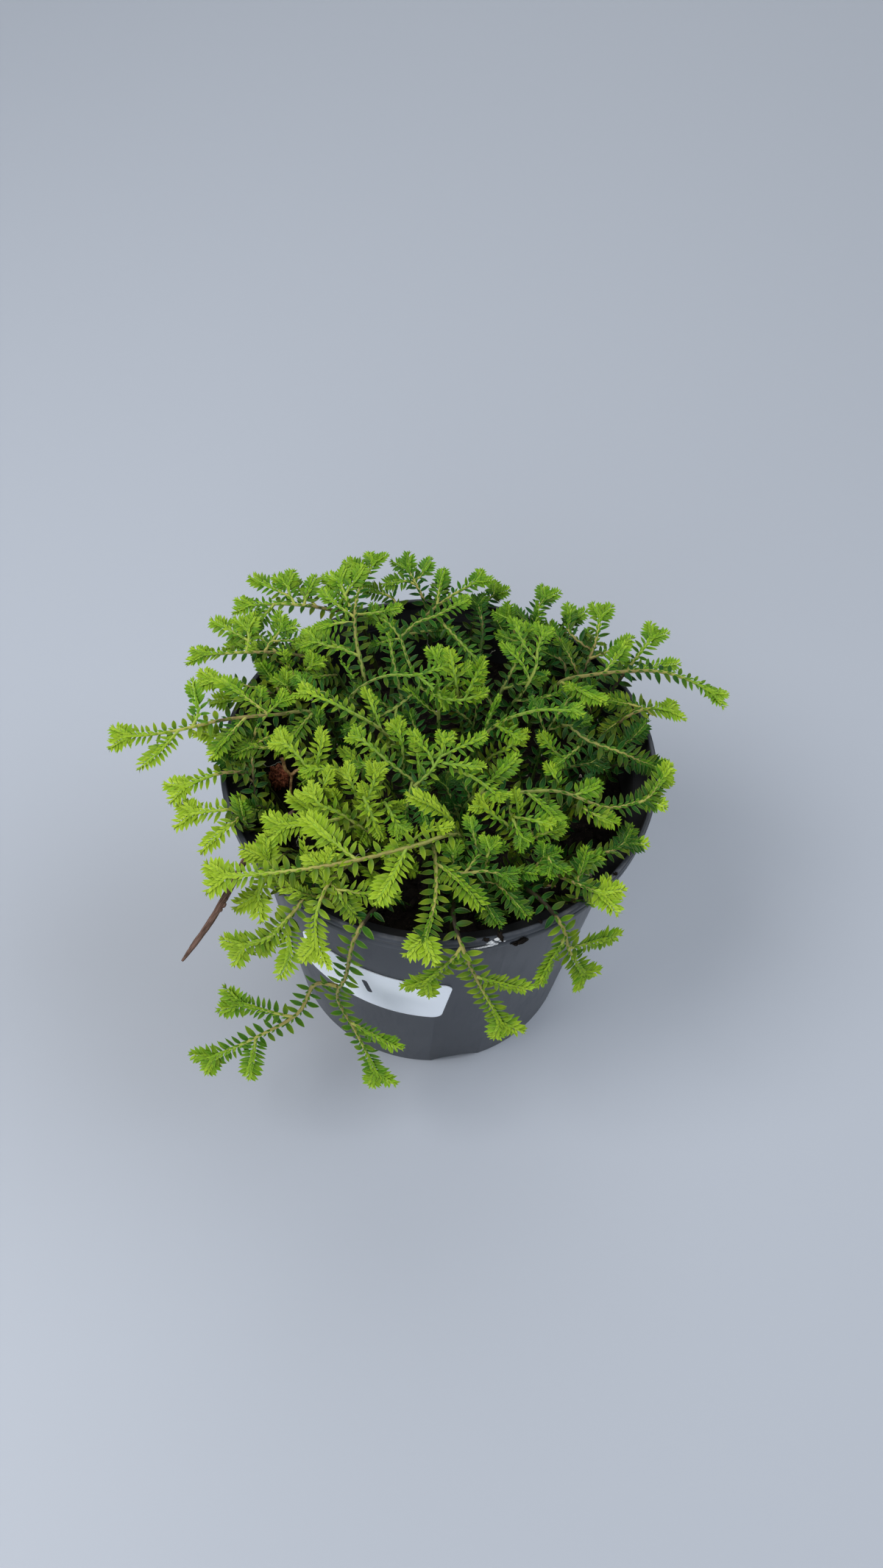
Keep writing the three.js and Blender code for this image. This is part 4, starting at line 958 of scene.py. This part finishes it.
for index, (name, route, branches, tone) in enumerate(STEMS):
    spray = Spray(index + 1, tone, route[-1])
    roll = 0
    if name == "trail_front_left":
        roll = FRONT_LEFT_ROLL
        branches = branches + [(FRONT_LEFT_ARM["from"], FRONT_LEFT_ARM)]
    passed = rooted(route)
    outward = passed[-1] - passed[1]
    line = StemLine(passed, Vector((-outward.y, outward.x, 0)).normalized(), roll)
    first = ROOT_DEPTH + BARE_STEM
    rising = [ROOT_DEPTH + share * BARE_STEM / 3 for share in range(3)]
    spray.bare_foot(line, [0, *rising, first], ROOT_RADIUS)
    turns = [(snapped(share, line, first), grown) for share, grown in branches]
    spray.grow(line, (first, 0), 0, line.length - first - CUT_BACK.get(name, 0), STEM_RADIUS, turns, True)
    spray.set_in_place("fine_" + name, name)

# ==== The inner sprays ====
# The same plant's shorter shoots, which cross over one another inside the mat. Those whose row
# starts with a place in the soil are rooted; the others leave another stem.
SHOOT_BARE = 6
SHOOT_FOOT_RADIUS = 0.48
SHOOT_RADIUS = 0.46
SHOOT_ROLL = 40
SHOOT_SEEDS = 201
# A row is the places that the shoot passes, its branches, whether it forks, and how yellow it is
INNER_SPRAYS = [
    ([(169, 32), (159, 28.5, 110), (146, 26, 114), (133, 22, 116.5), (116, 17.5, 117.5),
     (92.5, 19.5, 117)], [], True, 0.45),
    ([(117, 18, 117), (115.5, 24.5, 117), (113.5, 32.5, 117), (115, 39.5, 116.5), (117.5, 43.5, 116)],
     [(0.55, 9)], True, 0.4),
    ([(114, 32.5, 117), (104.5, 36, 118), (95, 39, 117.5), (86.5, 45, 116.5)], [], False, 0.45),
    ([(115.5, 18, 117), (105.5, 13.5, 116.5), (92.5, 10.5, 115)], [], True, 0.45),
    ([(-170, 30), (-178, 31.5, 104), (179, 32.5, 109), (174.5, 34, 111)], [], True, 0.3),
    ([(171, 23), (165, 27.5, 105), (161, 31, 110), (159.5, 33.5, 112), (161, 38, 113), (159.5, 42, 113.5)],
     [(0.45, -10)], False, 0.35),
    ([(106.5, 19, 112), (139, 14.5, 113), (165, 17.5, 112.5), (174, 23.5, 110.5)], [(0.5, 8)], False, 0.3),
    ([(-117, 17), (-134.5, 13.5, 108), (-146, 12, 114), (-162.5, 12, 117)], [], True, 0.45),
    ([(-85, 20), (-103.5, 18.5, 110), (-111.5, 18.5, 113.5), (-129, 19, 116), (-147, 20, 117),
     (-161, 22.5, 117.5)], [(0.5, -9), (0.75, 9)], True, 0.45),
    ([(-107.5, 20.5, 114), (-97.5, 17, 117), (-89.5, 13.5, 119), (-83.5, 9.5, 120)], [(0.5, 9),
     (0.72, -10)], True, 0.45),
    ([(-87.5, 14.5, 118), (-72.5, 16, 118.5), (-62, 17.5, 118.5)], [], False, 0.4),
    ([(-106.5, 20, 114), (-100.5, 24, 113), (-96, 28, 112)], [], False, 0.2),
    ([(-110.5, 19, 113.5), (-108.5, 24, 111), (-106.5, 27.5, 110)], [], False, 0.2),
    ([(-129, 41), (-126.5, 35, 108), (-125, 32, 114.5), (-125, 29, 118), (-127, 26.5, 120)], [(0.45, 10),
     (0.6, -9)], True, 0.8),
    ([(-107, 36), (-116, 36, 107), (-124.5, 37, 112), (-131, 39, 115), (-135, 41.5, 117),
     (-138.5, 41.5, 118)], [(0.5, -9), (0.6, 9)], True, 0.8),
    ([(-130, 42), (-138.5, 39, 111), (-140.5, 38, 116), (-142, 36, 118)], [], False, 0.8),
    ([(-146, 29), (-152.5, 34, 108), (-156, 37.5, 114), (-162, 40, 117), (-165.5, 42, 117.5)],
     [(0.62, -9)], True, 0.85),
    ([(-120, 32), (-132, 31, 112), (-134.5, 31, 116), (-139, 30.5, 117)], [], True, 0.8),
    ([(-124, 44), (-129, 59.5, 105), (-131.5, 59.5, 110), (-134, 59.5, 112)], [(0.6, -8)], True, 0.85),
    ([(-110, 50), (-116.5, 55.5, 107), (-118, 56, 113), (-119.5, 54.5, 115.5)], [(0.55, 8)], True, 0.85),
    ([(-125.5, 32, 117), (-117.5, 35.5, 118), (-114, 36.5, 115)], [], False, 0.85),
    ([(-110, 37), (-100.5, 35.5, 109), (-94.5, 34.5, 115), (-88, 35, 117.5)], [(0.4, -9)], False, 0.8),
    ([(-131, 26), (-118.5, 29, 114), (-110, 32.5, 116), (-106.5, 34, 115)], [], True, 0.6),
    ([(-118, 54.5, 112), (-113.5, 56.5, 112.5), (-111.5, 57, 110.5)], [(0.5, 9)], False, 0.85),
    ([(48, 12), (72, 14.5, 109), (78, 16, 116), (85, 20.5, 119)], [(0.6, -7)], False, 0.75),
    ([(94.5, 41, 115), (88.5, 35.5, 115), (80.5, 30.5, 115), (73, 28, 114)], [], False, 0.35),
    ([(112.5, 16.5, 113), (95, 9.5, 116), (57.5, 9.5, 117), (48, 13.5, 117)], [(0.8, 9)], False, 0.6),
    ([(40, 18), (38, 23, 106), (36.5, 28, 113), (41, 33.5, 116.5), (47.5, 38, 117.5), (50.5, 42.5, 118)],
     [(0.62, 10), (0.45, -12), (0.78, 10)], True, 0.45),
    ([(55, 45), (62.5, 44.5, 108), (65, 45, 113), (67.5, 45.5, 115)], [(0.6, -9)], True, 0.4),
    ([(51, 49), (56, 44, 109), (60.5, 40.5, 112.5), (64, 39, 114)], [], False, 0.4),
    ([(-6, 25), (1.5, 20.5, 106), (3.5, 19.5, 112), (5, 18.5, 114.5)], [], True, 0.55),
    ([(-18, 8), (-19.5, 14, 108), (-20, 18, 114), (-13, 21, 117)], [], False, 0.8),
    ([(-9, 40), (-8.5, 34.5, 108), (-9, 31, 113), (-8, 28.5, 116)], [], False, 0.5),
    ([(14, 45), (7.5, 41.5, 108), (-3, 37, 111.5), (-12, 33.5, 112.5)], [(0.5, 8)], False, 0.45),
    ([(-34, 41), (-28.5, 36, 110), (-27, 35, 114), (-25.5, 33, 115.5)], [(0.5, -8)], False, 0.55),
    ([(3, 26), (12, 30, 108), (17, 33.5, 111.5), (22.5, 38, 113), (25.5, 43.5, 112.5)], [(0.45, 8),
     (0.5, -8)], False, 0.35),
    ([(19, 50), (21, 44, 108), (21.5, 41.5, 112), (23.5, 40, 113.5)], [], False, 0.6),
    ([(7, 45), (12, 42, 104), (14.5, 41, 107), (18, 40, 108)], [], False, 0.1),
    ([(13, 60.5, 109), (16, 56.5, 110), (18, 53, 110)], [(0.5, 8)], False, 0.7),
    ([(0, 46), (4, 49.5, 105), (6, 52.5, 107), (7.5, 54, 107.5)], [], False, 0.4),
    ([(-26, 37), (-20, 39.5, 104), (-17.5, 40.5, 106), (-15.5, 41, 106.5)], [], False, 0.0),
    ([(-47, 38), (-55, 35, 109), (-62.5, 32.5, 115.5), (-67, 30, 118)], [(0.55, -8)], True, 0.7),
    ([(-47.5, 28, 112), (-53.5, 32, 113), (-55.5, 36.5, 113), (-56, 39, 112.5)], [(0.5, 9)], True, 0.45),
    ([(-61, 36), (-54, 39, 107), (-50.5, 41, 112), (-46.5, 42.5, 113)], [], False, 0.6),
    ([(-63, 46), (-57, 46, 104), (-54.5, 46, 109), (-53, 46, 110.5)], [], True, 0.35),
    ([(-24, 36), (-28, 41, 109), (-31, 45.5, 112.5), (-30.5, 49, 112.5)], [], False, 0.75),
    ([(-70, 47), (-71, 42, 105), (-71, 41, 111), (-69.5, 39.5, 113.5)], [(0.5, 8)], True, 0.45),
    ([(-83, 46), (-83, 41, 105), (-83, 40, 110), (-83, 38.5, 112)], [], True, 0.4),
    ([(-95, 43), (-87.5, 43, 108), (-79, 44.5, 111.5), (-72.5, 45, 112), (-68.5, 47, 111.5)], [(0.4, 8),
     (0.7, 8)], True, 0.4),
    ([(-69, 43), (-71.5, 38.5, 106), (-73.5, 36, 112.5), (-74, 33.5, 114.5)], [(0.5, 7)], False, 0.3),
    ([(-79, 40), (-77.5, 44.5, 105), (-75.5, 50.5, 108), (-74.5, 53, 107.5)], [(0.5, 9)], False, 0.5),
    ([(-72, 41), (-70, 46, 106), (-68.5, 51, 109), (-67.5, 53, 108.5)], [(0.5, 8)], False, 0.5),
    ([(-55, 44), (-51.5, 57.5, 104), (-49, 55.5, 108), (-46.5, 54, 109)], [(0.55, -7)], False, 0.6),
    ([(-153, 50), (-157.5, 51.5, 100), (-161, 51.5, 104), (-167, 51, 107), (-172.5, 51, 108.5),
     (-176.5, 51, 109)], [(0.55, 8)], False, 0.5),
    ([(-151, 46), (-152, 50.5, 103), (-152.5, 51.5, 105), (-152.5, 52.5, 106)], [], False, 0.5),
    ([(-155, 44), (-150, 56.5, 103), (-150, 57, 107), (-150.5, 57, 109)], [], False, 0.6),
    ([(-170, 50), (-176, 50.5, 109), (-179.5, 49, 112), (176.5, 47, 113.5), (172, 44.5, 114)], [(0.5, -8),
     (0.75, 8)], True, 0.6),
    ([(-180, 49), (-178.5, 54.5, 107), (-177.5, 58.5, 109), (-177.5, 61, 109.5)], [], False, 0.6),
    ([(-122.5, 64, 104.5), (-125, 66.5, 98), (-127, 68.5, 92)], [], False, 0.7),
    ([(139, 38), (143.5, 43, 108), (144.5, 45.5, 112), (144, 48, 113)], [], True, 0.55),
    ([(147, 48), (151, 53, 107), (152, 55, 110), (152.5, 57.5, 111)], [(0.5, 8)], False, 0.5),
    ([(135.5, 62.5, 114), (135, 65.5, 115), (134, 68, 116)], [(0.45, 8)], True, 0.6),
    ([(134, 60.5, 113.5), (132, 62, 115), (130.5, 63, 115.5)], [], False, 0.55),
    ([(139.5, 66.5, 114), (142, 66.5, 113), (143.5, 66.5, 112.5)], [], False, 0.55),
    ([(155.5, 62, 112), (152.5, 63, 113.5), (150.5, 65, 114.5)], [(0.5, 8)], True, 0.65),
    ([(153.5, 57.5, 112), (149.5, 57.5, 113.5), (145.5, 57.5, 114.5)], [(0.5, -8)], True, 0.55),
    ([(133.5, 36, 116), (140.5, 40.5, 116), (142.5, 46, 115.5)], [], True, 0.6),
    ([(125.5, 45, 118.5), (119, 43.5, 118), (113.5, 43.5, 117.5)], [], False, 0.5),
    ([(127.5, 42.5, 118), (131.5, 45.5, 117.5), (135.5, 47, 117)], [], False, 0.55),
    ([(160, 48), (154.5, 44, 109), (153.5, 43, 113), (151.5, 42, 115)], [(0.6, 8)], True, 0.6),
    ([(162, 38), (162, 43.5, 106), (162.5, 44.5, 110.5), (161.5, 46, 112)], [], True, 0.65),
    ([(155, 44), (158, 49, 105), (159, 51, 109), (159, 52, 110.5)], [], False, 0.5),
    ([(-178.5, 67, 111.5), (179, 65.5, 113.5), (176.5, 66.5, 115)], [], False, 0.4),
    ([(21, 29), (10.5, 33, 111), (-1, 39.5, 113.5), (-4.5, 47.5, 113.5), (-5.5, 52, 112.5),
     (-5.5, 56, 111)], [], False, 0.5),
    ([(-20, 55.5, 111), (-17, 58, 112), (-12, 59.5, 112.5)], [], False, 0.6),
    ([(47, 46), (54, 47, 107.5), (60, 49.5, 110.5), (64, 50, 112)], [(0.5, 7)], False, 0.4),
    ([(40, 56, 109.5), (44.5, 54.5, 110.5), (50, 55, 111), (52, 58, 111)], [], False, 0.45),
    ([(37, 49), (43.5, 50, 106.5), (48.5, 51, 109.5), (51.5, 51.5, 110.5)], [(0.5, -7)], False, 0.4),
    ([(31, 44), (31.5, 49, 105.5), (32, 53.5, 107), (32, 57.5, 107.5)], [(0.5, 7)], False, 0.15),
    ([(40.5, 46, 107), (44, 47, 108.5), (47.5, 45.5, 109.5)], [], False, 0.25),
    ([(125.5, 47.5, 118), (124, 54, 118.5), (123, 58, 119)], [(0.55, -6)], True, 0.5),
    ([(118.5, 52.5, 119), (118.5, 55, 119.5), (118.5, 57, 119.5)], [], False, 0.6),
    ([(113.5, 57.5, 119.5), (115, 60, 119.5), (116, 62, 119)], [], False, 0.6),
    ([(107.5, 49, 109.5), (107.5, 52, 112), (110, 54, 113), (113, 55, 114)], [], False, 0.55),
    ([(100, 57, 112.5), (102.5, 58, 113.5), (105.5, 57.5, 114)], [], False, 0.55),
    ([(100.5, 58.5, 113), (98.5, 59.5, 113.5), (97.5, 61, 114)], [], False, 0.4),
    ([(-67, 23), (-72.5, 19, 101), (-77.5, 17, 105.5), (-81.5, 14.5, 108)], [(0.5, 8), (0.6, -7)],
     True, 0.2),
    ([(-59, 24), (-61, 19.5, 102), (-62.5, 18, 106.5), (-64, 15, 109)], [(0.5, 7)], True, 0.25),
    ([(104, 2), (138, 6, 102), (144, 8.5, 107), (140, 10.5, 109)], [(0.5, 8)], False, 0.3),
    ([(42, 17), (53.5, 14, 103), (63.5, 12.5, 107), (77, 13, 108)], [(0.5, -8)], False, 0.3),
    ([(164.5, 53.5, 108.5), (169, 56, 109.5), (170.5, 59, 110)], [], False, 0.65),
]

for index, (route, branches, forked, tone) in enumerate(INNER_SPRAYS):
    spray = Spray(index + SHOOT_SEEDS, tone, route[-1])
    from_soil = len(route[0]) == 2
    passed = rooted(route) if from_soil else [at(*point) for point in route]
    # Its leaves have turned to the light
    level = LIGHT.cross(passed[-1] - passed[-2]).normalized()
    line = StemLine(passed, level, SHOOT_ROLL * (draw(index, 9) - 0.5))
    bare = ROOT_DEPTH + SHOOT_BARE if from_soil else 0
    if from_soil:
        spray.bare_foot(line, [bare * i / 4 for i in range(5)], SHOOT_FOOT_RADIUS)
    turns = [(share * (line.length - bare), size) for share, size in branches]
    spray.grow(line, (bare, 0), 0, line.length - bare, SHOOT_RADIUS, turns, forked)
    spray.set_in_place(f"inner_spray_{index + 1:02d}")

# ==== The dry twig ====
# A bit of fallen twig that lies in the mat and sticks out over the rim: round, bark still on, with
# the scars of a side bud and a snapped, tapering end.
TWIG_ROUTE = [(-149, 44, 104.2), (-142, 59, 105.4), (-136, 70.5, 105.3), (-133, 79, 105), (-130.5, 90.5, 105)]
TWIG_RADII = [0.46, 0.67, 0.84, 0.88, 0.84, 0.84, 0.92, 0.84, 0.8, 0.71, 0.29]
TWIG_RINGS = 60
TWIG_HEADING = -114.6
KNOT_AT = 0.66
WANDER_SEED = 5
KNOT_LUMPS = [((0, 1.0, 0.5), 1.5), ((1.5, 0.95, 0.5), 1.1), ((-1.8, 0.85, 0.45), 0.9)]

dry_bark, where = new_finish("dry_bark", 0.3)
grained = add_node(where.tree, "Mapping", settings={"vector_type": "TEXTURE"}, Vector=where,
                   Rotation=(0, 0, radians(TWIG_HEADING)), Scale=(9.0, 1.0, 1.0))
fibre = cloud(grained, 2600, 5, 0.65)
base = blend(between(fibre, 0.35, 0.65), (0.050, 0.028, 0.020), (0.175, 0.100, 0.075))
worn = between(fibre, 0.62, 0.72) * between(cloud(where, 260, 3), 0.45, 0.6)
dress(dry_bark, blend(worn * 0.7, base, (0.42, 0.32, 0.26)), between(fibre, 0.3, 0.7, 0.88, 0.68),
      fibre, 0.8, 0.00025)

# The wandering of twigs and threads is drawn from a seed, so that it is the same each run
noise.seed_set(WANDER_SEED)
twig_line = StemLine([at(*point) for point in TWIG_ROUTE], Vector((1, -0.5, 0)))
twig_shape = bmesh.new()
twig_seats, twig_widths = [], []
for ring in range(TWIG_RINGS + 1):
    share = ring / TWIG_RINGS
    place = share * (len(TWIG_RADII) - 1)
    low = min(int(place), len(TWIG_RADII) - 2)
    width = TWIG_RADII[low] + (TWIG_RADII[low + 1] - TWIG_RADII[low]) * (place - low)
    twig_seats.append(twig_line.seat((share * twig_line.length, 0)))
    twig_widths.append(width * (1 + 0.10 * noise.noise(Vector((share * 22, 0, 0)))))
for ring in tube(twig_shape, twig_seats, twig_widths, 14):
    for spot in ring:
        spot.co += 0.07 * noise.noise_vector(spot.co * 1.7)
knot = twig_line.seat((KNOT_AT * twig_line.length, 0))
for place, size in KNOT_LUMPS:
    stretched = Matrix.Diagonal((size * 1.1, size * 0.75, size * 0.7, 1))
    bmesh.ops.create_icosphere(twig_shape, subdivisions=2, radius=0.5,
                               matrix=knot @ Matrix.Translation(place) @ stretched)
set_in_place("bark_covered_twig", twig_shape, 50, dry_bark, "twig_wood", "twig")

# ==== The chip of bark and the perlite ====
# Bits of the potting mix that stand out: a frayed chip of composted red bark, stringy along its
# grain, and white, puffed grains of perlite, one big and a few small.
CHIP_AT = (-176, 45, 92.3)
CHIP_SIZE = (5.4, 6.4, 8.0)
GRAIN_AT = (-33, 49.5, 89.0)
GRAIN_SIZE = (2.9, 3.3, 2.6)
SMALL_GRAINS = 26
SMALL_GRAIN_REACH = 51

red_bark, where = new_finish("red_bark", 0.3)
strung = add_node(where.tree, "Mapping", settings={"vector_type": "TEXTURE"}, Vector=where,
                  Rotation=(radians(24), radians(-14), 0), Scale=(1.0, 1.0, 8.0))
strand = cloud(strung, 1500, 4, 0.6)
dress(red_bark, blend(between(strand, 0.36, 0.66), (0.11, 0.030, 0.014), (0.62, 0.20, 0.095)),
      between(strand, 0.3, 0.7, 0.85, 0.62), strand, 0.9, 0.0004)

chip = bmesh.new()
bmesh.ops.create_icosphere(chip, subdivisions=5, radius=0.5)
for spot in chip.verts:
    lengthwise = Vector((spot.co.x * 7, spot.co.y * 7, spot.co.z * 1.1))
    frayed = noise.noise(lengthwise) * 0.34 + noise.noise(lengthwise * 2.7) * 0.16
    spot.co *= 1 + frayed + 0.25 * max(0, spot.co.z)
chip_turn = Matrix.Rotation(radians(25), 3, "Z") @ Matrix.Rotation(radians(20), 3, "X")
bmesh.ops.transform(chip, verts=chip.verts, matrix=Matrix.LocRotScale(at(*CHIP_AT), chip_turn, CHIP_SIZE))
set_in_place("frayed_bark_chip", chip, 60, red_bark, "bark", "bark_chip")

perlite, where = new_finish("perlite", 0.3)
pores = add_node(where.tree, "TexVoronoi", "Distance", Vector=where, Scale=2600.0)
stain = cloud(where, 500, 4, 0.6)
puffed = blend(between(pores, 0.05, 0.45), (0.30, 0.25, 0.18), (0.66, 0.61, 0.50))
dress(perlite, blend(between(stain, 0.5, 0.75, 0.0, 0.7), puffed, (0.19, 0.13, 0.08)),
      between(stain, 0.3, 0.7, 0.75, 0.92), pores, 0.7, 0.0002)

grain = bmesh.new()
lay(grain, lump_shape("puff", 4, 0.7, 5.2), lie(at(*GRAIN_AT), radians(40), GRAIN_SIZE))
set_in_place("puffed_perlite", grain, 60, perlite, "perlite", "perlite_grain")
small_puff = lump_shape("small_puff", 2, 0.8, 8.1)
grains = bmesh.new()
for n in range(SMALL_GRAINS):
    size = 0.6 + 1.1 * draw(n, 21) ** 2
    spot = on_mix(360 * draw(n, 22), SMALL_GRAIN_REACH * sqrt(draw(n, 23)), 0.35 * size)
    lay(grains, small_puff, lie(spot, 6.28 * draw(n, 24), (size, size, size)))
set_in_place("small_perlite", grains, 60, perlite, "perlite")

# ==== Dead stems, root threads and what has stuck to the rim ====
# Old shoots that have died back to straw, the hair-thin rooting threads that the stems let down,
# crumbs of mix that watering has left on the collar, and a crust of lime beside them.
DEAD_STEMS = [[(-176.4, 43.6, 101), (-174.2, 42.7, 98.5), (-172.3, 41.2, 96.5), (-169.4, 41.7, 93.5),
               (-166, 41.5, 89.5)],
              [(-172.5, 41.4, 96.6), (-173.5, 39.5, 98), (-176, 37, 99)],
              [(-60, 42, 98.5), (-53, 44, 96), (-47, 47.5, 93)]]
THREADS = [[(-165.1, 58, 100.5), (-167.7, 56.1, 98), (-166.9, 54.2, 96), (-170.7, 52, 97)],
           [(-179, 50.5, 96), (-176.7, 47.6, 97), (-177.8, 43.5, 98)],
           [(-125.8, 45.6, 104), (-119.1, 43.9, 106.6), (-115.1, 39.8, 108)],
           [(97.5, 40.6, 112), (98.1, 41.1, 106), (96.2, 39.5, 100)],
           [(-75.2, 42.8, 101), (-60.6, 44, 97), (-48, 47.5, 94)],
           [(-140, 45, 104), (-143, 46, 97), (-146, 44, 89)],
           [(20, 47, 103), (22, 49, 96), (25, 48, 89)],
           [(70, 42, 104), (74, 45, 96), (77, 44, 88.5)]]
# Each row is the azimuth, radius and height of a bit, and how far it reaches round, outward and up
RIM_CRUMBS = [(-67.8, 59.9, 99.9, 3.0, 0.9, 1.8), (-67.2, 59.9, 100.6, 1.4, 0.8, 1.3),
              (-68.9, 60.0, 99.4, 1.1, 0.7, 0.9), (-72.8, 59.2, 104.1, 0.9, 2.2, 0.7),
              (-76.4, 59.5, 104.1, 1.2, 0.8, 0.5), (-62.2, 58.6, 104.1, 0.7, 0.9, 0.5),
              (-38, 59.3, 104.1, 0.9, 0.7, 0.5), (-118, 59.9, 101.2, 1.0, 0.6, 0.8)]
LIME_BITS = [(-75.2, 60.0, 103.0, 1.1, 0.3, 0.9), (-73.7, 59.8, 103.7, 1.0, 0.4, 0.7),
             (-74.6, 60.0, 102.4, 0.7, 0.3, 0.6), (-72.0, 59.9, 102.4, 0.6, 0.3, 0.4),
             (-78.2, 59.9, 101.0, 1.5, 0.25, 0.25), (-76.9, 59.9, 101.2, 1.6, 0.25, 0.3),
             (-75.5, 59.9, 101.4, 1.7, 0.3, 0.35), (-74.1, 59.9, 101.8, 1.1, 0.3, 0.5),
             (-73.0, 59.9, 103.0, 0.5, 0.3, 0.5)]


def mottled(name, gloss, mottle, reach, dark, pale, roughness, *relief):
    """A finish in two colours, mottled at a scale, detail and roughness of noise."""
    finish, where = new_finish(name, gloss)
    spots = cloud(where, *mottle)
    relief = (spots, *relief) if relief else ()
    dress(finish, blend(between(spots, *reach), dark, pale), between(spots, 0.3, 0.7, *roughness), *relief)
    return finish


straw = mottled("straw", 0.35, (900, 4, 0.6), (0.35, 0.65), (0.20, 0.10, 0.035), (0.56, 0.36, 0.14),
                (0.72, 0.55), 0.7, 0.0002)
pale_root = mottled("pale_root", 0.4, (1200, 3), (0.3, 0.7), (0.33, 0.34, 0.24), (0.62, 0.62, 0.50),
                    (0.5, 0.65))
lime = mottled("lime", 0.3, (2200, 4, 0.7), (0.3, 0.7), (0.40, 0.42, 0.44), (0.78, 0.79, 0.80), (0.75, 0.92))


def thread_bundle(routes, radius, wander, sides):
    """Thin rods along several routes, each wandering a little."""
    bundle = bmesh.new()
    for n, route in enumerate(routes):
        line = StemLine([at(*point) for point in route], Vector((1, 0.3, 0.1)))
        steps = max(6, round(line.length / 0.9))
        seats = line.seats(line.length * i / steps for i in range(steps + 1))
        widths = []
        for i, seat in enumerate(seats):
            seat.translation += wander * noise.noise_vector(Vector((i * 0.6, 7.3 * n, 0)))
            widths.append(radius * (1.1 - 0.5 * i / steps + 0.25 * noise.noise(Vector((i * 0.9, n, 3)))))
        tube(bundle, seats, widths, sides)
    return bundle


def stuck_bits(rows, seed):
    """Small rough lumps against the collar."""
    bits = bmesh.new()
    pattern = lump_shape(f"bit_{seed}", 3, 1.1, seed)
    for azimuth, radius, height, round_it, outward, upward in rows:
        size = (round_it * 1.6, outward * 1.2, upward * 1.5)
        lay(bits, pattern, lie(at(azimuth, radius, height), radians(azimuth + 90), size))
    return bits


set_in_place("dead_stems", thread_bundle(DEAD_STEMS, 0.5, 0.35, 7), 60, straw, "foliage")
set_in_place("root_threads", thread_bundle(THREADS, 0.11, 0.5, 5), 80, pale_root, "foliage")
set_in_place("rim_crumbs", stuck_bits(RIM_CRUMBS, 6.3), 60, soil_brown, "potting_mix")
set_in_place("lime_crust", stuck_bits(LIME_BITS, 2.9), 60, lime, "perlite")
